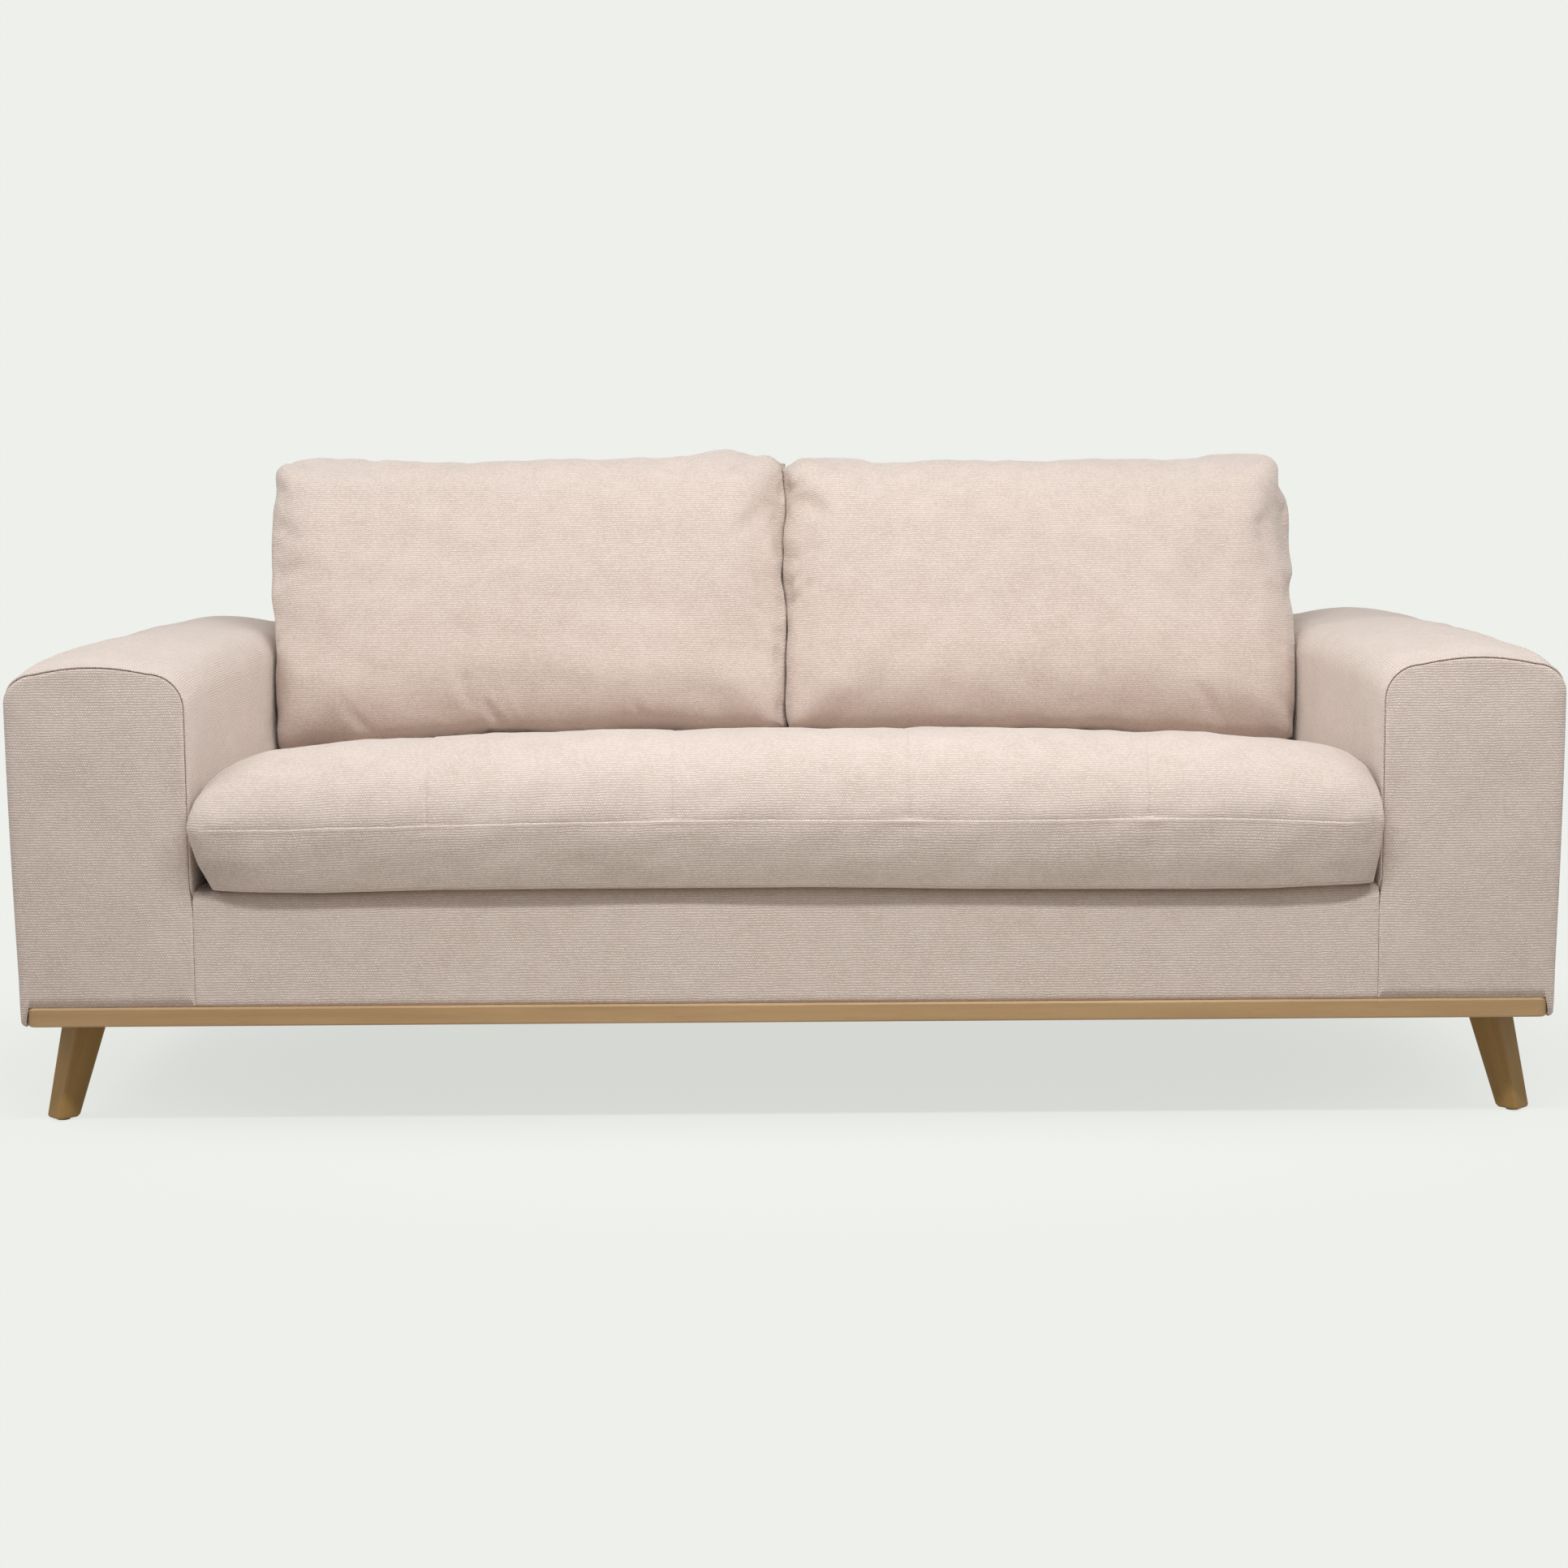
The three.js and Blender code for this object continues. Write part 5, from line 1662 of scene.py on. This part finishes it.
    def sewn(self, ring: Grid, cloth: Grid) -> Grid:
        """Adds folds, edge puckers and lumps to the bare shape."""
        x0, x1 = self.ends
        normal = normals_of(ring, wrapped=True)
        x, z = ring[..., 0], ring[..., 2]
        facing = smoothstep(-normal[..., 1], 0.1, 0.7)
        lift = sum(facing * crease.height(x, z) for crease in self.creases)
        edge = np.minimum(x - x0, x1 - x)
        along = cloth[..., 1]
        puckers = ripple(edge * 0.2, along, 0.034, self.seed)
        lift += 0.0022 * bump(edge - 0.008, 0.012) * puckers
        high = smoothstep(z, self.fullness.top - 0.05, self.fullness.top - 0.01)
        lift += 0.0012 * high * ripple(x, along * 0.2, 0.06, self.seed + 1)
        for height, wave, seed in ((0.0020, 0.24, 2), (0.0009, 0.085, 3)):
            lift += height * ripple(x, along, wave, self.seed + seed)
        out = ring + normal * lift[..., None]
        out[..., 0] = np.clip(out[..., 0], x0, x1 + self.swell(out[..., 2]))
        out[..., 1] = np.minimum(out[..., 1], self.back_face(out[..., 2]))
        out[..., 2] = np.maximum(out[..., 2], self.seat_under(out[..., 0], out[..., 1]))
        return out

    def placed(self, ring: Grid) -> Grid:
        """Moves the cushion to its end, with the joint that both cushions share."""
        out = ring.copy()
        height, length, place, reach = self.joint
        wave = height * np.sin(TURN * (ring[..., 1] - place) / length)
        out[..., 0] = self.side.value * ring[..., 0] + wave * np.exp(-ring[..., 0] / reach)
        out[..., 1] = self.places.y(ring[..., 1])
        return out

    def build(self, finishes: Finishes) -> None:
        """Builds and dresses the cushion."""
        ring, cloth = self.surface()
        name = f"back_cushion_{self.side.tag}"
        cushion, home = mesh_piece(f"{name}_cover", ring, cloth)
        held = np.zeros(len(cushion.data.vertices))
        x0, x1 = self.ends
        edge = np.minimum(ring[..., 0] - x0, x1 - ring[..., 0]).reshape(-1)
        held[home] = edge < self.sewn_edge
        ring = Stuffing().fill(cushion, held)[home].reshape(ring.shape)
        ring = self.placed(self.sewn(self.settled(ring), cloth))
        points = points_of(cushion.data)
        points[home] = ring.reshape(-1, 3)
        cushion.data.vertices.foreach_set("co", points.ravel())
        if self.side is Side.LEFT:
            cushion.data.flip_normals()
        smooth = cushion.modifiers.new("Smooth", "SUBSURF")
        smooth.levels = smooth.render_levels = 1
        applied(cushion)
        outfit(cushion, finishes.cloth, name, [name])


# ---- Platform -------------------------------------------------------------------------


@dataclass
class Platform:
    """The felt platform on the springs, with its sewn channels.

    Attributes:
        places: Where the frame carries it.
        channel: Distance between the channels.
        groove: Depth of a channel.
        thick: Thickness of the felt where the springs rise highest.
    """

    places: Places
    channel: float = 0.098
    groove: float = 0.004
    thick: float = 0.0125

    def build(self, finishes: Finishes) -> None:
        """Builds and dresses the platform cloth."""
        low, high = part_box("deck_pad")
        front, rear = low[1] - self.places.front, high[1] - self.places.front
        half = high[0]
        depths = spaced(front, rear, 0.012)
        arch = np.sin(math.pi * (depths - front) / (rear - front)) ** 2
        under = low[2] + (high[2] - self.thick - low[2]) * arch
        upper = np.full(len(depths), high[2])
        section = np.concatenate([
            np.stack([depths, under], 1), np.stack([depths, upper], 1)[::-1]
        ])
        grid = swept(spaced(-half, half, 0.012), section)
        line = np.abs((grid[..., 0] / self.channel) % 1 - 0.5) * self.channel
        inside = smoothstep(half - np.abs(grid[..., 0]), 0.002, 0.03)
        groove = self.groove * bump(line, 0.006) * inside
        grid[:, len(depths):, 2] -= groove[:, len(depths):]
        cloth = cloth_of(grid)
        grid[..., 1] = self.places.y(grid[..., 1])
        pad, _ = mesh_piece("platform_felt", grid, cloth, close=True)
        outfit(pad, finishes.deck, "frame", ["deck_pad"])


# ---- Frame dressing -------------------------------------------------------------------


class FrameDressing:
    """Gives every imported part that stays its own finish."""

    legs = ("front_left", "front_right", "rear_left", "rear_right")

    def __init__(self, finishes: Finishes) -> None:
        """Takes the materials to use."""
        self.finishes = finishes

    def slope(self, corner: str) -> tuple[float, float, float]:
        """Direction of a leg, from its foot to its top."""
        foot, head = (
            Vector([(a + b) / 2 for a, b in zip(*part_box(f"{name}_{corner}"))])
            for name in ("glide", "leg_bolt")
        )
        return tuple((head - foot).normalized())

    def dress(self) -> None:
        """Paints the wood, springs, clips, webbing and lining."""
        f = self.finishes
        ends = ("left", "right")
        plain = {
            f.plinth: ["plinth_front"],
            f.timber_x: [
                "base_rail_rear", "seat_rail_front", "seat_rail_rear", "back_top_rail",
                *(f"corner_block_{corner}" for corner in self.legs),
            ],
            f.timber_y: [
                "seat_rail_middle",
                *(f"{n}_{end}" for n in ("base_rail", "seat_rail", "arm_top_rail") for end in ends),
            ],
            f.timber_z: [
                f"{n}_{end}" for n in ("arm_front_board", "arm_rear_board", "back_post")
                for end in ends
            ],
            f.plastic: [
                "spring_clip_strip_front", "spring_clip_strip_rear",
                *(f"glide_{corner}" for corner in self.legs),
            ],
            f.steel: [
                *(f"sinuous_spring_{i}" for i in range(1, 9)),
                *(f"leg_bolt_{corner}" for corner in self.legs),
            ],
            f.webbing: [f"back_strap_{i}" for i in range(1, 4)],
        }
        for corner in self.legs:
            plain[f.leg(f"leg {corner}", self.slope(corner))] = [f"leg_{corner}"]
        for material, names in plain.items():
            for name in names:
                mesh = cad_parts[name].data
                mesh.materials.clear()
                mesh.materials.append(material)
        self.lining()

    def lining(self) -> None:
        """Builds the dust cover: a thin sheet stretched under the seat, sagging a little."""
        low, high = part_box("dust_cover")
        xs, ys = spaced(low[0], high[0], 0.02), spaced(low[1], high[1], 0.02)
        x, y = np.meshgrid(xs, ys, indexing="ij")
        across = np.sin(math.pi * (x - low[0]) / (high[0] - low[0]))
        deep = np.sin(math.pi * (y - low[1]) / (high[1] - low[1]))
        free = smoothstep(np.minimum(across, deep), 0.12, 0.5)
        sag = 0.004 * free + 0.0008 * free * ripple(x, y, 0.15, 71)
        upper = np.stack([x, y, high[2] - sag], axis=2)
        lower = upper - np.array([0, 0, 0.0008])
        grid = np.concatenate([upper, lower[:, ::-1]], axis=1)
        sheet, _ = mesh_piece("dust_lining_sheet", grid, grid[..., :2], close=True)
        outfit(sheet, self.finishes.lining, "frame", ["dust_cover"])


# ---- Room -----------------------------------------------------------------------------


@dataclass(frozen=True)
class Lamp:
    """One flat lamp.

    Attributes:
        name: Name of the lamp.
        place: Where it hangs.
        aim: The point that it faces.
        size: Its length and width.
        power: Its power, in watts.
    """

    name: str
    place: tuple[float, float, float]
    aim: tuple[float, float, float]
    size: tuple[float, float]
    power: float


@dataclass
class Studio:
    """Pale floor, even room light, one long narrow lamp and a soft lamp on each side.

    Attributes:
        backdrop: Colour of the floor and the background.
        room: Strength of the room's light.
        room_colour: Colour of the room's light.
        bounce: Colour of the light that the floor throws back at the sofa.
        floor_half: Half of the floor's length and width.
        shadow_squash: Depth of the shadow's patch as a share of its length across.
        shadow_reach: Distances at which the shadow's patch starts to fade and ends.
        shadow_share: Shares of plain background inside the patch and outside it.
        lamp_colour: Colour of the lamps.
        lamps: The lamps.
    """

    backdrop: Colour = field(default_factory=lambda: linear(238, 240, 235))
    room: float = 0.33
    room_colour: Colour = (1.0, 0.99, 0.975)
    bounce: Colour = (0.62, 0.59, 0.545)
    floor_half: float = 14.0
    shadow_squash: float = 0.62
    shadow_reach: tuple[float, float] = (0.45, 1.05)
    shadow_share: tuple[float, float] = (0.78, 1.0)
    lamp_colour: Colour = (0.968, 1.0, 1.025)
    lamps: tuple[Lamp, ...] = (
        Lamp("Long lamp", (0.2, -1.44, 2.14), (0.1, 0.0, 0.5), (2.2, 0.15), 44.5),
        Lamp("Left lamp", (-1.9, -0.5, 2.0), (0.3, 0.0, 0.5), (1.0, 1.0), 13.0),
        Lamp("Right lamp", (1.9, -0.5, 2.0), (-0.3, 0.0, 0.5), (1.0, 1.0), 6.5),
    )

    def seen_directly(self, g: Graph) -> bpy.types.NodeSocket:
        """1 where the eye, a reflection or glass sees the surface, and 0 for its light."""
        path = g.add("ShaderNodeLightPath")
        seen = g.math("MAXIMUM", path.outputs["Is Camera Ray"], path.outputs["Is Glossy Ray"])
        return g.math("MAXIMUM", seen, path.outputs["Is Transmission Ray"])

    def build_world(self) -> None:
        """Sets the room's light and the background's colour."""
        world = bpy.data.worlds.new("Room")
        bpy.context.scene.world = world
        world.use_nodes = True
        world.node_tree.nodes.clear()
        g = Graph(world.node_tree)
        plain = g.add("ShaderNodeBackground", {"Color": (*self.backdrop, 1), "Strength": 1.0})
        light = g.add(
            "ShaderNodeBackground", {"Color": (*self.room_colour, 1), "Strength": self.room}
        )
        mixed = g.add("ShaderNodeMixShader", {
            0: self.seen_directly(g), 1: light.outputs[0], 2: plain.outputs[0],
        })
        g.add("ShaderNodeOutputWorld", {"Surface": mixed.outputs[0]})

    def build_floor(self) -> None:
        """Lays a pale floor that keeps the sofa's shadow and fades into the background."""
        mesh = bpy.data.meshes.new("floor")
        half = self.floor_half
        corners = [(x * half, y * half, 0) for x, y in ((-1, -1), (1, -1), (1, 1), (-1, 1))]
        mesh.from_pydata(corners, [], [(0, 1, 2, 3)])
        floor = bpy.data.objects.new("floor", mesh)
        bpy.context.collection.objects.link(floor)
        material = bpy.data.materials.new("Floor")
        material.use_nodes = True
        material.node_tree.nodes.clear()
        g = Graph(material.node_tree)
        seen = self.seen_directly(g)
        tone = g.mix(seen, self.bounce, self.backdrop)
        matt = g.add("ShaderNodeBsdfDiffuse", {"Color": tone})
        glow = g.add("ShaderNodeEmission", {"Color": (*self.backdrop, 1), "Strength": 1.0})
        place = g.add("ShaderNodeTexCoord").outputs["Object"]
        parts = g.add("ShaderNodeSeparateXYZ", {0: place}).outputs
        across = g.math("MULTIPLY", parts["X"], self.shadow_squash)
        squares = (g.math("POWER", reach, 2.0) for reach in (across, parts["Y"]))
        radius = g.math("SQRT", g.math("ADD", *squares))
        (near, far), (inside, outside) = self.shadow_reach, self.shadow_share
        away = g.add("ShaderNodeMapRange", {
            "Value": radius, "From Min": near, "From Max": far,
            "To Min": inside, "To Max": outside,
        }, interpolation_type="SMOOTHSTEP").outputs[0]
        share = g.math("MULTIPLY", away, seen)
        mixed = g.add("ShaderNodeMixShader", {0: share, 1: matt.outputs[0], 2: glow.outputs[0]})
        g.add("ShaderNodeOutputMaterial", {"Surface": mixed.outputs[0]})
        mesh.materials.append(material)

    def hang(self, lamp: Lamp) -> None:
        """Hangs one lamp and turns it towards the sofa."""
        data = bpy.data.lights.new(lamp.name, "AREA")
        data.shape = "RECTANGLE"
        data.size, data.size_y = lamp.size
        data.energy = lamp.power
        data.color = self.lamp_colour
        hung = bpy.data.objects.new(lamp.name, data)
        hung.location = lamp.place
        aim = Vector(lamp.aim) - Vector(lamp.place)
        hung.rotation_euler = aim.to_track_quat("-Z", "Y").to_euler()
        bpy.context.collection.objects.link(hung)

    def build(self) -> None:
        """Builds the room and sets the plain view transform."""
        bpy.context.scene.view_settings.view_transform = "Standard"
        self.build_world()
        self.build_floor()
        for lamp in self.lamps:
            self.hang(lamp)


@dataclass(frozen=True)
class Viewpoint:
    """The camera: eye place, turn and focal length.

    Attributes:
        x: Place across.
        depth: Place along the depth, before the arm fronts.
        height: Height above the floor.
        yaw: Turn about the vertical.
        pitch: Turn downwards.
        roll: Turn about the line of sight.
        focal: Focal length as a share of the picture's width.
        film: Width of the film, in millimetres.
    """

    x: float = 0.0133
    depth: float = -3.477
    height: float = 0.879
    yaw: float = -0.004
    pitch: float = 0.119
    roll: float = -0.008
    focal: float = 1.68737
    film: float = 36.0

    def build(self, places: Places) -> None:
        """Sets up the scene's camera."""
        (cy, sy), (cp, sp), (cr, sr) = (
            (math.cos(angle), math.sin(angle)) for angle in (self.yaw, self.pitch, self.roll)
        )
        ahead = Vector((sy * cp, cy * cp, -sp))
        level = Vector((cy, -sy, 0))
        above = level.cross(ahead)
        right = cr * level + sr * above
        up = cr * above - sr * level
        data = bpy.data.cameras.new("Camera")
        data.sensor_fit = "HORIZONTAL"
        data.sensor_width = self.film
        data.lens = self.film * self.focal
        camera = bpy.data.objects.new("Camera", data)
        turn = Matrix((right, up, -ahead)).transposed().to_4x4()
        spot = Matrix.Translation((self.x, places.y(self.depth), self.height))
        camera.matrix_world = spot @ turn
        bpy.context.collection.objects.link(camera)
        bpy.context.scene.camera = camera


# ---- The sofa -------------------------------------------------------------------------


LEFT_CREASES = (
    Crease((0.003, 0.811), (0.030, 0.828), 0.0045, 0.0045),
    Crease((0.004, 0.618), (0.036, 0.662), 0.0070, 0.0060),
    Crease((0.006, 0.650), (0.048, 0.672), 0.0050, 0.0030),
    Crease((0.478, 0.526), (0.498, 0.590), 0.0080, 0.0042),
    Crease((0.440, 0.500), (0.476, 0.562), 0.0075, 0.0046),
    Crease((0.420, 0.504), (0.440, 0.545), 0.0060, 0.0026),
    Crease((0.648, 0.492), (0.674, 0.532), 0.0075, 0.0034),
    Crease((0.219, 0.508), (0.236, 0.540), 0.0065, 0.0028),
    Crease((0.784, 0.756), (0.762, 0.772), 0.0045, 0.0042),
    Crease((0.782, 0.612), (0.760, 0.640), 0.0050, 0.0048),
)
RIGHT_CREASES = (
    Crease((0.006, 0.846), (0.050, 0.866), 0.0050, 0.0050),
    Crease((0.005, 0.700), (0.050, 0.738), 0.0055, 0.0050),
    Crease((0.006, 0.672), (0.042, 0.697), 0.0050, 0.0036),
    Crease((0.659, 0.500), (0.626, 0.545), 0.0080, 0.0038),
    Crease((0.784, 0.492), (0.756, 0.530), 0.0070, 0.0036),
    Crease((0.772, 0.806), (0.750, 0.818), 0.0045, 0.0042),
    Crease((0.779, 0.700), (0.756, 0.707), 0.0045, 0.0038),
    Crease((0.786, 0.592), (0.764, 0.605), 0.0050, 0.0038),
)


def main() -> None:
    """Builds the sofa piece by piece, then the room and the camera."""
    logging.basicConfig(level=logging.INFO, format="%(name)s: %(message)s")
    places = Places.measured()
    finishes = Finishes()
    FrameDressing(finishes).dress()
    for side in Side:
        Arm(side, places).build(finishes)
    rail = FrontRail(places)
    rail.build(finishes)
    Platform(places).build(finishes)
    back = Back(places)
    back.build(finishes)
    seat = SeatCushion(places, rail)
    seat.build(finishes)
    for side, fullness, creases, seed in (
        (Side.LEFT, Fullness(top=0.903, lean=0.005, bulge=0.011, taper=0.004), LEFT_CREASES, 101),
        (Side.RIGHT, Fullness(top=0.897, lean=0.0, bulge=0.004, taper=0.014), RIGHT_CREASES, 202),
    ):
        BackCushion(side, places, seat, back, fullness, creases, seed).build(finishes)
    Studio().build()
    Viewpoint().build(places)


if __name__ == "__main__":
    main()
